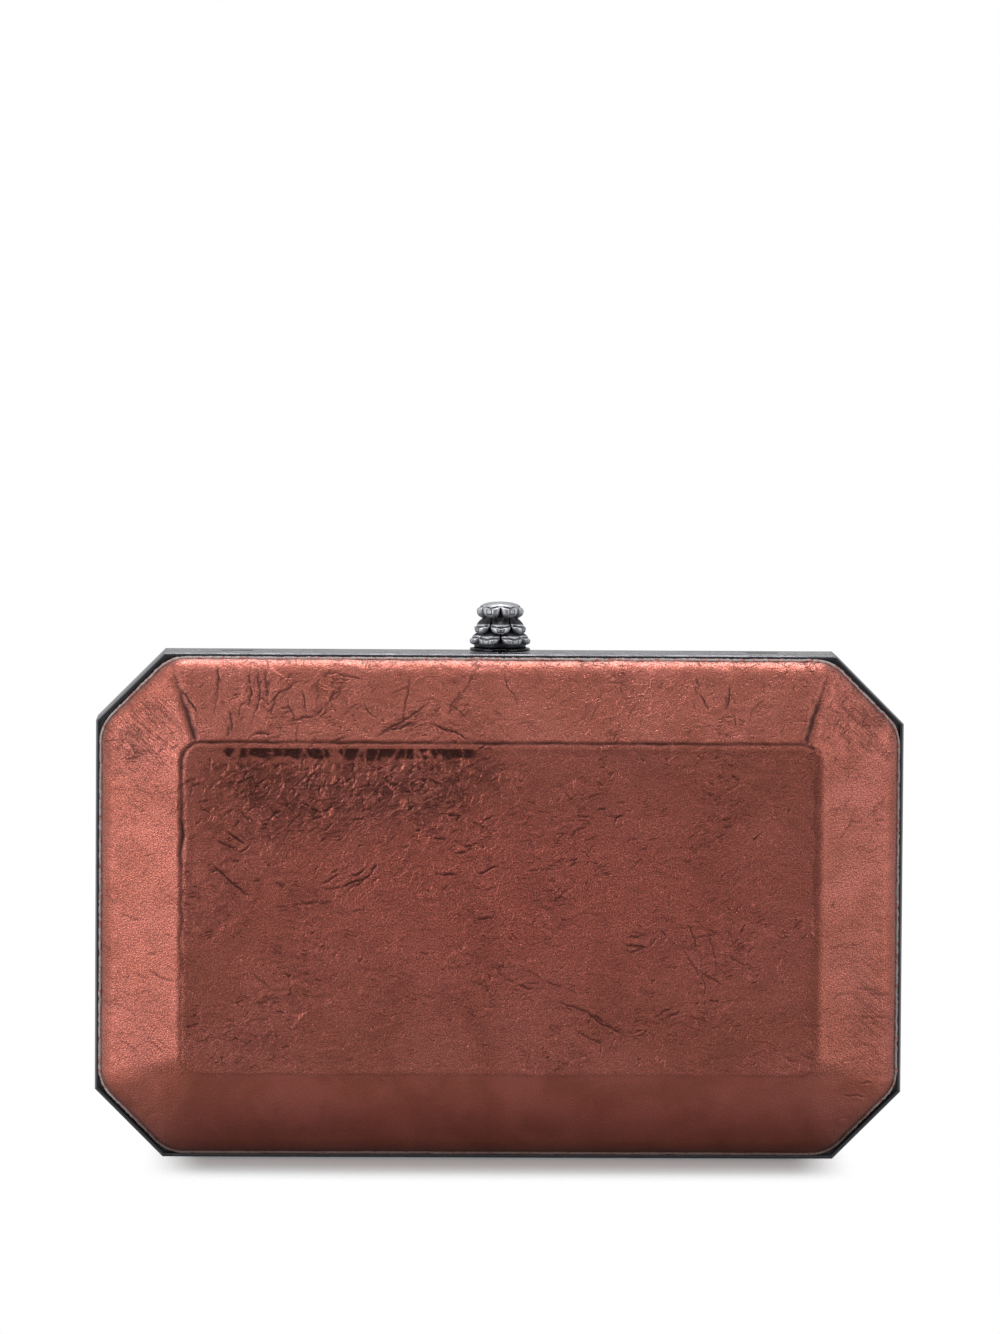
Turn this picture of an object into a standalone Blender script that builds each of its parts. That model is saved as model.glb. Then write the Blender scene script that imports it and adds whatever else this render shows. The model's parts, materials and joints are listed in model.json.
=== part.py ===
"""Hard-framed box clutch: two octagonal metal rails, hinged along the bottom, each carry a leather-covered tray, and a
sprung scaled knob on top works the latch.

Metres, +Z up. The clutch stands on its bottom rails. The origin is on the floor under its middle, the front faces -Y
and X runs along its width. Depth is counted from the seam between the two halves, towards the front or the rear.
"""

from math import acos, atan2, cos, pi, radians, sin, sqrt, tan

import bmesh
import bpy
from mathutils import Matrix, Vector

# Overall sizes
BODY_WIDTH = 0.190
BODY_HEIGHT = 0.119
HALF_DEPTH = 0.0185
CORNER_LEG = 0.016
FIT_GAP = 0.0003
OVERRUN = 0.001

# Rails
RAIL_DEPTH = 0.009
RAIL_WALL = 0.0008
RAIL_BEVEL = 0.00035
SEAM_EASE = 0.0002
LEDGE_WALL = 0.001
LEDGE_LIP = 0.0009

# Padded panel, whose layers nest from the leather inwards
CHANNEL = 0.0005
LEATHER_WALL = 0.001
SHELL_WALL = 0.0015
LINING_WALL = 0.001
GIRDLE_RISE = 0.0022
GIRDLE_LEAN = 0.0004
GIRDLE_ROUND = 0.0022
TABLE_INSET = 0.0204
TABLE_ROUND = 0.003
TABLE_CORNER_ROUND = 0.003
PANEL_CORNER_ROUND = 0.009
PANEL_CORNER_EXTRA = 0.0008
SMALLEST_ROUND = 0.0004

# Hinge
OPEN_ANGLE = 90
RELIEF_ANGLE = 3
HINGE_RADIUS = 0.0015
HINGE_LIFT = 0.0001
HINGE_END = 0.0015
HINGE_PIN_RADIUS = 0.00075
HINGE_PIN_ROOM = 0.0002
KNUCKLE_ROOM = 0.0005
KNUCKLE_COUNT = 11
SHEET_WALL = 0.0007

# Rivets
RIVET_RADIUS = 0.0006
RIVET_HEAD_RADIUS = 0.0011
RIVET_HEAD_WALL = 0.0005

# Clasp: collar, bushing and nut
PRESS_TRAVEL = 0.0006
COLLAR_RADIUS = 0.0071
COLLAR_WALL = 0.00045
COLLAR_EDGE = 0.00012
COLLAR_HUB_RADIUS = 0.0028
COLLAR_HUB_RISE = 0.0003
BUSHING_RADIUS = 0.0024
BUSHING_LENGTH = 0.0075
BUSHING_FLOOR = 0.0008
BUSHING_WALL = 0.0004
NECK_RADIUS = 0.0017
NUT_RADIUS = 0.0026
NUT_WALL = 0.0012
SHELF_WALL = 0.001
SHELF_MARGIN = 0.0012
EAR_WIDTH = 0.0055

# Clasp: stem, latch bar and strikers
STEM_RADIUS = 0.0016
PIN_RADIUS = 0.001
STEM_REACH = 0.0044
STEP_DROP = 0.0027
LATCH_WALL = 0.001
BITE_ROOM = 0.00025
LATCH_REAR = 0.0022
BRIDGE_WIDTH = 0.001
ARM_WIDTH = 0.0026
ARM_ROOM = 0.0004
STRIKER_WIDTH = 0.006
CLIP_RADIUS = 0.0022
CLIP_WALL = 0.0009
STEM_TAIL = 0.0005

# Return spring
SPRING_WIRE_RADIUS = 0.0002
SPRING_TURNS = 3

# Knob: tips of the scales, counted up from the lowest, and widest points, bottom tier first
KNOB_HEIGHT = 0.0099
TIER_TIPS = (0.0, 0.00275, 0.00645)
TIER_RADII = (0.00704, 0.00607, 0.00544)
KNOB_CORE_RADIUS = 0.0040
SCALE_BELLY_RISE = 0.0014
SCALE_THICKNESS = 0.0009
SCALE_SCALLOP = 0.0009
SCALE_UNDERCUT = 0.0005
CROWN_RADIUS = 0.0036
CROWN_DROP = 0.0007
SCALES_PER_TIER = 6
SCALE_GROOVE_SHARE = 0.42
SCALE_LIP_SHARE = 0.93

# Chain eyes and the slots above them
CHAIN_X = 0.062
CHAIN_SLOT_WIDTH = 0.0074
CHAIN_SLOT_DEPTH = 0.0023
EYE_WIDTH = 0.0052
EYE_WIRE_RADIUS = 0.00045
EYE_BEND_RADIUS = 0.0012

# Facets
CORNER_STEPS = 3
ROUND_STEPS = 24
SMALL_STEPS = 12
KNOB_STEPS = 48
SMOOTH_ANGLE = radians(35)

# Sizes that follow from the ones above
HINGE_Z = HINGE_RADIUS + HINGE_LIFT
HINGE_LENGTH = BODY_WIDTH - 2 * (CORNER_LEG + HINGE_END)
LEDGE_NEAR = HINGE_RADIUS + KNUCKLE_ROOM + SHEET_WALL + FIT_GAP
LEDGE_FAR = LEDGE_NEAR + LEDGE_WALL
SEAT = LEDGE_FAR + FIT_GAP
SHEET_FAR = LEDGE_NEAR - FIT_GAP
SHEET_NEAR = SHEET_FAR - SHEET_WALL
LEATHER_INSET = RAIL_WALL + CHANNEL
SHELL_OFFSET = LEATHER_WALL + FIT_GAP
LINING_OFFSET = SHELL_OFFSET + SHELL_WALL + FIT_GAP
LEDGE_REACH = LEATHER_INSET + LINING_OFFSET + LINING_WALL + LEDGE_LIP
RIVET_INSET = (RAIL_WALL + LEDGE_REACH) / 2
HINGE_RIVET_INSET = HINGE_Z + HINGE_RADIUS + FIT_GAP + RIVET_HEAD_RADIUS
GIRDLE_DEPTH = RAIL_DEPTH + GIRDLE_RISE

COLLAR_LOW = BODY_HEIGHT + FIT_GAP
COLLAR_TOP = COLLAR_LOW + COLLAR_WALL
SHOULDER_Z = BODY_HEIGHT - BUSHING_LENGTH
SHELF_TOP = SHOULDER_Z - FIT_GAP
SHELF_LOW = SHELF_TOP - SHELF_WALL
NUT_TOP = SHELF_LOW - FIT_GAP
NUT_LOW = NUT_TOP - NUT_WALL
NECK_LOW = NUT_LOW - FIT_GAP
LATCH_TOP = NECK_LOW - FIT_GAP
LATCH_LOW = LATCH_TOP - LATCH_WALL
LATCH_BITE = PRESS_TRAVEL - BITE_ROOM
CLIP_TOP = LATCH_LOW - FIT_GAP
STEM_LOW = CLIP_TOP - CLIP_WALL - STEM_TAIL
BORE_RADIUS = BUSHING_RADIUS - BUSHING_WALL
BORE_FLOOR = SHOULDER_Z + BUSHING_FLOOR
STEP_Z = BODY_HEIGHT - STEP_DROP
KNOB_LOW = COLLAR_TOP + PRESS_TRAVEL + FIT_GAP
SHELF_HALF_WIDTH = NECK_RADIUS + FIT_GAP + SHELF_MARGIN
EAR_INNER = BUSHING_RADIUS + 2 * SHELF_MARGIN
EAR_OUTER = EAR_INNER + EAR_WIDTH
ARM_INNER = SHELF_HALF_WIDTH + SHELF_MARGIN
ARM_OUTER = ARM_INNER + ARM_WIDTH
STRIKER_OUTER = ARM_INNER + STRIKER_WIDTH


def clear_scene():
    """Start from an empty scene."""
    for item in list(bpy.data.objects):
        bpy.data.objects.remove(item, do_unlink=True)


def finish(name, look):
    """A material of its own for one piece: colour, roughness and metallic value."""
    colour, roughness, metallic = look
    material = bpy.data.materials.new(name + "_finish")
    material.use_nodes = True
    shader = material.node_tree.nodes["Principled BSDF"]
    shader.inputs["Base Color"].default_value = (*colour, 1.0)
    shader.inputs["Roughness"].default_value = roughness
    shader.inputs["Metallic"].default_value = metallic
    return material


GUNMETAL = ((0.10, 0.10, 0.11), 0.22, 1.0)
BLACK_METAL = ((0.03, 0.03, 0.033), 0.12, 1.0)
KNOB_METAL = ((0.42, 0.42, 0.44), 0.25, 1.0)
STEEL = ((0.45, 0.45, 0.46), 0.35, 1.0)
SPRING_STEEL = ((0.30, 0.30, 0.31), 0.40, 1.0)
COPPER_LEATHER = ((0.42, 0.16, 0.12), 0.45, 0.5)
BOARD = ((0.16, 0.13, 0.11), 0.85, 0.0)
LINING_CLOTH = ((0.06, 0.045, 0.04), 0.90, 0.0)


def shape_from(name, points, faces):
    """A mesh object from points and faces, with its faces turned outwards."""
    mesh = bpy.data.meshes.new(name)
    form = bmesh.new()
    corners = [form.verts.new(point) for point in points]
    for face in faces:
        form.faces.new([corners[index] for index in face])
    bmesh.ops.recalc_face_normals(form, faces=form.faces)
    form.to_mesh(mesh)
    form.free()
    item = bpy.data.objects.new(name, mesh)
    bpy.context.scene.collection.objects.link(item)
    return item


def piece(item, look, smooth=True):
    """Give a finished piece its material, and smooth shading where it is round."""
    item.data.materials.append(finish(item.name, look))
    if smooth:
        item.data.shade_smooth()
        item.data.set_sharp_from_angle(angle=SMOOTH_ANGLE)
    return item


def cutter(item):
    """A shape that only cuts or joins another, and isn't a piece."""
    item.hide_render = True
    item.display_type = "WIRE"
    return item


def combine(item, tool, operation="DIFFERENCE"):
    """Cut one shape with another, or join them."""
    step = item.modifiers.new(tool.name, "BOOLEAN")
    step.object = tool
    step.operation = operation
    step.solver = "EXACT"


def skin(rings, joined=False, fold=0):
    """Points and faces of a closed shape whose neighbouring rings of points are joined; a ring of one point is a tip.

    The last ring meets the first if joined, and otherwise the two end rings are closed with a face each. A shape that
    folds back on itself is split into triangles alike on both sides of the fold, the ring at which it turns back.
    """
    starts = []
    points = []
    for ring in rings:
        starts.append(len(points))
        points.extend(ring)
    pairs = [(index, index + 1) for index in range(len(rings) - 1)]
    if joined:
        pairs.append((len(rings) - 1, 0))
    faces = []
    for low, high in pairs:
        count = max(len(rings[low]), len(rings[high]))
        for step in range(count):
            after = (step + 1) % count
            corners = []
            for ring, place in ((low, step), (low, after), (high, after), (high, step)):
                index = starts[ring] + (place if len(rings[ring]) > 1 else 0)
                if index not in corners:
                    corners.append(index)
            if not fold:
                faces.append(corners)
            elif low < fold:
                faces.extend(([corners[0], corners[1], corners[3]], [corners[1], corners[2], corners[3]]))
            else:
                faces.extend(([corners[0], corners[1], corners[2]], [corners[0], corners[2], corners[3]]))
    if not joined:
        for end in (0, len(rings) - 1):
            if len(rings[end]) > 1:
                faces.append([starts[end] + step for step in range(len(rings[end]))])
    return points, faces


def turned(name, profile, steps, centre=(0, 0), joined=True):
    """A piece turned about a vertical axis from (radius, height) points; radius 0 is a point on the axis."""
    rings = []
    for radius, height in profile:
        if radius == 0:
            rings.append([Vector((centre[0], centre[1], height))])
            continue
        ring = []
        for step in range(steps):
            angle = 2 * pi * step / steps
            ring.append(Vector((centre[0] + radius * cos(angle), centre[1] + radius * sin(angle), height)))
        rings.append(ring)
    return shape_from(name, *skin(rings, joined))


def rod(name, start, end, radius, steps=SMALL_STEPS):
    """A straight round bar between two points."""
    start = Vector(start)
    along = Vector(end) - start
    turn = along.to_track_quat("Z", "Y")
    rings = []
    for base in (start, start + along):
        ring = []
        for step in range(steps):
            angle = 2 * pi * (step + 0.5) / steps
            ring.append(base + turn @ Vector((radius * cos(angle), radius * sin(angle), 0)))
        rings.append(ring)
    return shape_from(name, *skin(rings))


def prism(name, outline, axis, low, high):
    """An outline drawn across an axis (0, 1 or 2) and pulled along it from low to high."""
    rings = []
    for height in (low, high):
        ring = []
        for first, second in outline:
            point = [first, second]
            point.insert(axis, height)
            ring.append(Vector(point))
        rings.append(ring)
    return shape_from(name, *skin(rings))


def box(name, low, high):
    """A block between two opposite corners."""
    outline = ((low[0], low[1]), (high[0], low[1]), (high[0], high[1]), (low[0], high[1]))
    return prism(name, outline, 2, low[2], high[2])


def joined_shapes(name, shapes):
    """Several separate shapes as one cutter."""
    points = []
    faces = []
    for item in shapes:
        start = len(points)
        points.extend(vertex.co.copy() for vertex in item.data.vertices)
        faces.extend([start + index for index in face.vertices] for face in item.data.polygons)
        bpy.data.objects.remove(item, do_unlink=True)
    return cutter(shape_from(name, points, faces))


def rounded(before, corner, after, radius, steps):
    """Points of the arc that rounds the corner between two straight lines."""
    into = (before - corner).normalized()
    out = (after - corner).normalized()
    half = acos(max(-1.0, min(1.0, into.dot(out)))) / 2
    centre = corner + (into + out).normalized() * (radius / sin(half))
    spoke = corner + into * (radius / tan(half)) - centre
    last = corner + out * (radius / tan(half)) - centre
    sweep = atan2(spoke.x * last.y - spoke.y * last.x, spoke.dot(last))
    return [centre + Matrix.Rotation(sweep * step / steps, 2) @ spoke for step in range(steps + 1)]


def rail_corners(inset, extra_leg=0.0):
    """The octagon's eight corners in X and Z, clockwise from the left end of the top edge."""
    across = BODY_WIDTH / 2 - inset
    top = BODY_HEIGHT - inset
    leg = CORNER_LEG + extra_leg - inset * (2 - sqrt(2))
    return [
        Vector((-across + leg, top)),
        Vector((across - leg, top)),
        Vector((across, top - leg)),
        Vector((across, inset + leg)),
        Vector((across - leg, inset)),
        Vector((-across + leg, inset)),
        Vector((-across, inset + leg)),
        Vector((-across, top - leg)),
    ]


def panel_outlines():
    """Matching points of the panel's rounded octagon and of its table, a rounded rectangle.

    The two ends of each cut corner of the octagon run to the same corner of the table, with a three-cornered facet
    between them.
    """
    corners = rail_corners(LEATHER_INSET, PANEL_CORNER_EXTRA)
    edge = []
    for index, corner in enumerate(corners):
        before = corners[index - 1]
        after = corners[(index + 1) % len(corners)]
        edge.append(rounded(before, corner, after, PANEL_CORNER_ROUND, CORNER_STEPS))
    across = BODY_WIDTH / 2 - TABLE_INSET
    top = BODY_HEIGHT - TABLE_INSET
    table_corners = [
        Vector((across, top)),
        Vector((across, TABLE_INSET)),
        Vector((-across, TABLE_INSET)),
        Vector((-across, top)),
    ]
    outer = []
    table = []
    for index, corner in enumerate(table_corners):
        first = edge[2 * index + 1]
        second = edge[(2 * index + 2) % len(edge)]
        outer.extend(first)
        outer.append((first[-1] + second[0]) / 2)
        outer.extend(second)
        before = table_corners[index - 1]
        after = table_corners[(index + 1) % len(table_corners)]
        table.extend(rounded(before, corner, after, TABLE_CORNER_ROUND, 2 * CORNER_STEPS + 2))
    return outer, table


def shifted(start, end, offset):
    """A line of the panel's profile, moved offset into the panel."""
    along = (end - start).normalized()
    inwards = Vector((along.y, -along.x)) * offset
    return start + inwards, end + inwards


def crossing(first, second):
    """Where two lines cross."""
    start, end = first
    along = end - start
    other_start, other_end = second
    other = other_end - other_start
    share = ((other_start.x - start.x) * other.y - (other_start.y - start.y) * other.x) / (
        along.x * other.y - along.y * other.x
    )
    return start + along * share


def panel_profile(offset):
    """(inset, depth) points of one face of a panel layer, from its seat on the ledge to the table."""
    foot = Vector((LEATHER_INSET, SEAT))
    shoulder = Vector((LEATHER_INSET + GIRDLE_LEAN, GIRDLE_DEPTH))
    rim = Vector((TABLE_INSET, HALF_DEPTH))
    centre = Vector((BODY_HEIGHT / 2, HALF_DEPTH))
    girdle = shifted(foot, shoulder, offset)
    facet = shifted(shoulder, rim, offset)
    table = shifted(rim, centre, offset)
    seat = (foot, foot + Vector((LEATHER_INSET, 0)))
    low = crossing(girdle, seat)
    bend = crossing(girdle, facet)
    brow = crossing(facet, table)
    bend_round = max(GIRDLE_ROUND - offset, SMALLEST_ROUND)
    brow_round = max(TABLE_ROUND - offset, SMALLEST_ROUND)
    points = [low]
    points.extend(rounded(low, bend, brow, bend_round, CORNER_STEPS))
    points.append((bend + brow) / 2)
    points.extend(rounded(bend, brow, table[1], brow_round, CORNER_STEPS - 1))
    return points


def at_depth(point, depth, side):
    """A point of an X and Z outline, set at a depth from the seam: side -1 is the front half, 1 the rear."""
    return Vector((point.x, side * depth, point.y))


def panel_layer(name, side, offset, wall, look):
    """One tray-shaped layer of the padded panel, its outer face offset inwards from the leather's face."""
    outer, table = panel_outlines()

    def ring(inset, depth):
        share = (inset - LEATHER_INSET) / (TABLE_INSET - LEATHER_INSET)
        return [at_depth(low.lerp(high, share), depth, side) for low, high in zip(outer, table)]

    outside = [ring(*point) for point in panel_profile(offset)]
    inside = [ring(*point) for point in panel_profile(offset + wall)]
    return piece(shape_from(name, *skin(outside[::-1] + inside, fold=len(outside))), look)


def rail(name, side):
    """One octagonal rail with the ledge that carries its panel."""
    seam = FIT_GAP / 2
    section = (
        (0.0, seam + SEAM_EASE),
        (0.0, RAIL_DEPTH - RAIL_BEVEL),
        (RAIL_BEVEL, RAIL_DEPTH),
        (RAIL_WALL, RAIL_DEPTH),
        (RAIL_WALL, LEDGE_FAR),
        (LEDGE_REACH, LEDGE_FAR),
        (LEDGE_REACH, LEDGE_NEAR),
        (RAIL_WALL, LEDGE_NEAR),
        (RAIL_WALL, seam),
        (SEAM_EASE, seam),
    )
    rings = [[at_depth(corner, depth, side) for corner in rail_corners(inset)] for inset, depth in section]
    return piece(shape_from(name, *skin(rings, joined=True)), GUNMETAL, smooth=False)


def cut_rail(item, side):
    """Cut a rail for the hinge, the bushing and the rivets."""
    reach = HINGE_LENGTH / 2 + FIT_GAP
    relief = HINGE_RADIUS + FIT_GAP
    knuckles = box(
        item.name + "_cutter_hinge",
        (-reach, -relief, -OVERRUN),
        (reach, relief, RAIL_WALL + OVERRUN),
    )
    combine(item, cutter(knuckles))
    half_angle = radians(OPEN_ANGLE / 2 + RELIEF_ANGLE)
    drop = HINGE_Z + OVERRUN
    wedge = ((0, HINGE_Z), (-drop * tan(half_angle), -OVERRUN), (drop * tan(half_angle), -OVERRUN))
    relief_wedge = prism(item.name + "_cutter_relief", wedge, 0, -BODY_WIDTH / 2, BODY_WIDTH / 2)
    combine(item, cutter(relief_wedge))
    bushing = rod(
        item.name + "_cutter_bushing",
        (0, 0, BODY_HEIGHT - RAIL_WALL - OVERRUN),
        (0, 0, BODY_HEIGHT + OVERRUN),
        BUSHING_RADIUS + FIT_GAP,
        ROUND_STEPS,
    )
    combine(item, cutter(bushing))
    holes = [rivet_hole(item.name, x, HINGE_RIVET_INSET, side) for x in hinge_rivet_places()]
    top_holes = striker_rivet_places() if side < 0 else bracket_rivet_places()
    holes.extend(rivet_hole(item.name, x, BODY_HEIGHT - RIVET_INSET, side) for x in top_holes)
    combine(item, joined_shapes(item.name + "_cutter_rivets", holes))


def hinge_rivet_places():
    """X of the three rivets of a hinge leaf."""
    step = KNUCKLE_COUNT // 2 * HINGE_LENGTH / KNUCKLE_COUNT
    return (-step, 0.0, step)


def bracket_rivet_places():
    """X of the rivets in the bracket's two ears."""
    middle = (EAR_INNER + EAR_OUTER) / 2
    return (-middle, middle)


def striker_rivet_places():
    """X of the rivets of the two strikers, beside their arms."""
    middle = (ARM_OUTER + STRIKER_OUTER) / 2
    return (-middle, middle)


def rivet_hole(owner, x, z, side):
    """A clearance hole for a rivet, through a rail's ledge and the sheet metal on it."""
    start = (x, side * (SHEET_NEAR - OVERRUN), z)
    end = (x, side * (LEDGE_FAR + OVERRUN), z)
    return rod(owner + "_hole", start, end, RIVET_RADIUS + FIT_GAP)


def rivet(name, x, z, side):
    """A rivet whose head lies on the sheet metal and whose shank ends flush with the far side of the ledge."""
    head_near = SHEET_NEAR - FIT_GAP - RIVET_HEAD_WALL
    profile = (
        (0, head_near),
        (RIVET_HEAD_RADIUS - RIVET_HEAD_WALL, head_near),
        (RIVET_HEAD_RADIUS, SHEET_NEAR - FIT_GAP),
        (RIVET_RADIUS, SHEET_NEAR - FIT_GAP),
        (RIVET_RADIUS, LEDGE_FAR),
        (0, LEDGE_FAR),
    )
    item = turned(name, profile, SMALL_STEPS, joined=False)
    item.data.transform(Matrix.Translation((x, 0, z)) @ Matrix.Rotation(-side * pi / 2, 4, "X"))
    return piece(item, STEEL)


def hinge_leaf(name, side, first):
    """A hinge leaf: a flange against the ledge and every other knuckle, each joined to it by a web."""
    ledge_end = LEDGE_REACH - FIT_GAP
    flange = box(
        name,
        (-HINGE_LENGTH / 2, min(side * SHEET_NEAR, side * SHEET_FAR), RAIL_WALL + FIT_GAP),
        (HINGE_LENGTH / 2, max(side * SHEET_NEAR, side * SHEET_FAR), ledge_end),
    )
    web_low = HINGE_LIFT + FIT_GAP
    web_high = web_low + SHEET_WALL
    start = atan2(web_high, -sqrt(HINGE_RADIUS**2 - web_high**2))
    end = atan2(web_low, -sqrt(HINGE_RADIUS**2 - web_low**2)) - 2 * pi
    outline = []
    for step in range(SMALL_STEPS + 1):
        angle = start + (end - start) * step / SMALL_STEPS
        outline.append((-side * HINGE_RADIUS * cos(angle), HINGE_Z + HINGE_RADIUS * sin(angle)))
    in_flange = side * (SHEET_NEAR + SHEET_FAR) / 2
    outline.append((in_flange, HINGE_Z + web_low))
    outline.append((in_flange, HINGE_Z + web_high))
    pitch = HINGE_LENGTH / KNUCKLE_COUNT
    knuckles = []
    for index in range(first, KNUCKLE_COUNT, 2):
        low = -HINGE_LENGTH / 2 + index * pitch + FIT_GAP / 2
        knuckles.append(prism(name + "_knuckle", outline, 0, low, low + pitch - FIT_GAP))
    combine(flange, joined_shapes(name + "_cutter_knuckles", knuckles), "UNION")
    bore = rod(
        name + "_cutter_bore",
        (-HINGE_LENGTH / 2 - OVERRUN, 0, HINGE_Z),
        (HINGE_LENGTH / 2 + OVERRUN, 0, HINGE_Z),
        HINGE_PIN_RADIUS + HINGE_PIN_ROOM,
    )
    combine(flange, cutter(bore))
    holes = [rivet_hole(name, x, HINGE_RIVET_INSET, side) for x in hinge_rivet_places()]
    combine(flange, joined_shapes(name + "_cutter_rivets", holes))
    return piece(flange, STEEL)


def hinge_pin():
    """The pin through all the knuckles."""
    pin = rod("hinge_pin", (-HINGE_LENGTH / 2, 0, HINGE_Z), (HINGE_LENGTH / 2, 0, HINGE_Z), HINGE_PIN_RADIUS)
    return piece(pin, STEEL)


def clasp_bracket():
    """The rear bracket: two ears riveted to the ledge, and a shelf that carries the bushing."""
    top = BODY_HEIGHT - RAIL_WALL - FIT_GAP
    plate = (
        (-EAR_OUTER, SHELF_LOW),
        (EAR_OUTER, SHELF_LOW),
        (EAR_OUTER, top),
        (EAR_INNER, top),
        (EAR_INNER, SHELF_TOP),
        (-EAR_INNER, SHELF_TOP),
        (-EAR_INNER, top),
        (-EAR_OUTER, top),
    )
    bracket = prism("clasp_bracket", plate, 1, SHEET_NEAR, SHEET_FAR)
    shelf = [(SHELF_HALF_WIDTH, (SHEET_NEAR + SHEET_FAR) / 2), (-SHELF_HALF_WIDTH, (SHEET_NEAR + SHEET_FAR) / 2)]
    for step in range(SMALL_STEPS + 1):
        angle = pi + pi * step / SMALL_STEPS
        shelf.append((SHELF_HALF_WIDTH * cos(angle), SHELF_HALF_WIDTH * sin(angle)))
    tongue = prism("clasp_bracket_cutter_shelf", shelf, 2, SHELF_LOW, SHELF_TOP)
    combine(bracket, cutter(tongue), "UNION")
    neck = rod(
        "clasp_bracket_cutter_neck",
        (0, 0, SHELF_LOW - OVERRUN),
        (0, 0, SHELF_TOP + OVERRUN),
        NECK_RADIUS + FIT_GAP,
        ROUND_STEPS,
    )
    combine(bracket, cutter(neck))
    holes = [rivet_hole("clasp_bracket", x, BODY_HEIGHT - RIVET_INSET, 1) for x in bracket_rivet_places()]
    combine(bracket, joined_shapes("clasp_bracket_cutter_rivets", holes))
    return piece(bracket, STEEL)


def guide_bushing():
    """The bushing that guides the stem; its counterbore holds the return spring."""
    pin_room = PIN_RADIUS + FIT_GAP
    profile = (
        (BORE_RADIUS, BODY_HEIGHT),
        (BUSHING_RADIUS, BODY_HEIGHT),
        (BUSHING_RADIUS, SHOULDER_Z),
        (NECK_RADIUS, SHOULDER_Z),
        (NECK_RADIUS, NECK_LOW),
        (pin_room, NECK_LOW),
        (pin_room, BORE_FLOOR),
        (BORE_RADIUS, BORE_FLOOR),
    )
    return piece(turned("guide_bushing", profile, ROUND_STEPS), STEEL)


def bushing_nut():
    """The hexagonal nut that holds the bushing to the shelf."""
    hexagon = [(NUT_RADIUS * cos(pi * step / 3), NUT_RADIUS * sin(pi * step / 3)) for step in range(6)]
    nut = prism("bushing_nut", hexagon, 2, NUT_LOW, NUT_TOP)
    hole = rod(
        "bushing_nut_cutter",
        (0, 0, NUT_LOW - OVERRUN),
        (0, 0, NUT_TOP + OVERRUN),
        NECK_RADIUS + FIT_GAP,
        ROUND_STEPS,
    )
    combine(nut, cutter(hole))
    return piece(nut, STEEL)


def clasp_collar():
    """The polished black disc that the knob stands over."""
    hole = STEM_RADIUS + FIT_GAP
    profile = (
        (hole, COLLAR_LOW),
        (COLLAR_RADIUS - COLLAR_EDGE, COLLAR_LOW),
        (COLLAR_RADIUS, COLLAR_LOW + COLLAR_EDGE),
        (COLLAR_RADIUS, COLLAR_TOP - COLLAR_EDGE),
        (COLLAR_RADIUS - COLLAR_EDGE, COLLAR_TOP),
        (COLLAR_HUB_RADIUS + COLLAR_HUB_RISE, COLLAR_TOP),
        (COLLAR_HUB_RADIUS, COLLAR_TOP + COLLAR_HUB_RISE),
        (hole, COLLAR_TOP + COLLAR_HUB_RISE),
    )
    return piece(turned("clasp_collar", profile, KNOB_STEPS), BLACK_METAL)


def scale_lobe(angle, tier):
    """How full a tier's scales stand at an angle: 1 along the middle of a scale and 0 in the groove between two."""
    quarter = pi / SCALES_PER_TIER * (tier % 2)
    return sqrt(abs(cos(SCALES_PER_TIER / 2 * (angle + pi / 2 - pi / SCALES_PER_TIER + quarter))))


def knob_ring(radius, height, tier, scallop=0.0):
    """A ring of the knob that follows a tier's scales."""
    ring = []
    for step in range(KNOB_STEPS):
        angle = 2 * pi * step / KNOB_STEPS
        lobe = scale_lobe(angle, tier)
        fullness = SCALE_GROOVE_SHARE + (1 - SCALE_GROOVE_SHARE) * lobe
        at = KNOB_CORE_RADIUS + (radius - KNOB_CORE_RADIUS) * fullness
        ring.append(Vector((at * cos(angle), at * sin(angle), height + scallop * (1 - lobe))))
    return ring


def knob_cone():
    """The scaled cone: a crown and three tiers of overlapping scales over a core, bored for the stem."""
    top = KNOB_LOW + KNOB_HEIGHT
    last = len(TIER_TIPS) - 1
    rings = [[Vector((0, 0, top))]]
    rings.append(knob_ring(KNOB_CORE_RADIUS / 2, top - CROWN_DROP / 4, last))
    rings.append(knob_ring(CROWN_RADIUS, top - CROWN_DROP, last))
    for tier in range(last, -1, -1):
        radius = TIER_RADII[tier]
        tip = KNOB_LOW + TIER_TIPS[tier]
        belly = tip + SCALE_BELLY_RISE
        waist = (KNOB_CORE_RADIUS + radius) / 2
        if tier < last:
            above = KNOB_LOW + TIER_TIPS[tier + 1] + SCALE_SCALLOP + SCALE_UNDERCUT
            rings.append(knob_ring(KNOB_CORE_RADIUS, above - SCALE_UNDERCUT / 2, tier))
            rings.append(knob_ring(waist, (above + belly) / 2, tier))
        else:
            rings.append(knob_ring(radius - SCALE_THICKNESS / 2, (top - CROWN_DROP + belly) / 2, tier))
        rings.append(knob_ring(radius, belly, tier))
        rings.append(knob_ring(radius * SCALE_LIP_SHARE, tip + SCALE_THICKNESS / 4, tier, SCALE_SCALLOP))
        rings.append(knob_ring(radius - SCALE_THICKNESS, tip, tier, SCALE_SCALLOP))
        rings.append(knob_ring(KNOB_CORE_RADIUS, tip + SCALE_SCALLOP + SCALE_UNDERCUT, tier))
    hole = STEM_RADIUS + FIT_GAP
    under = KNOB_LOW + SCALE_SCALLOP + SCALE_UNDERCUT
    bore_top = BODY_HEIGHT + STEM_REACH + FIT_GAP
    for height in (under, bore_top):
        ring = []
        for step in range(KNOB_STEPS):
            angle = 2 * pi * step / KNOB_STEPS
            ring.append(Vector((hole * cos(angle), hole * sin(angle), height)))
        rings.append(ring)
    rings.append([Vector((0, 0, bore_top))])
    return piece(shape_from("knob_cone", *skin(rings)), KNOB_METAL)


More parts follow.
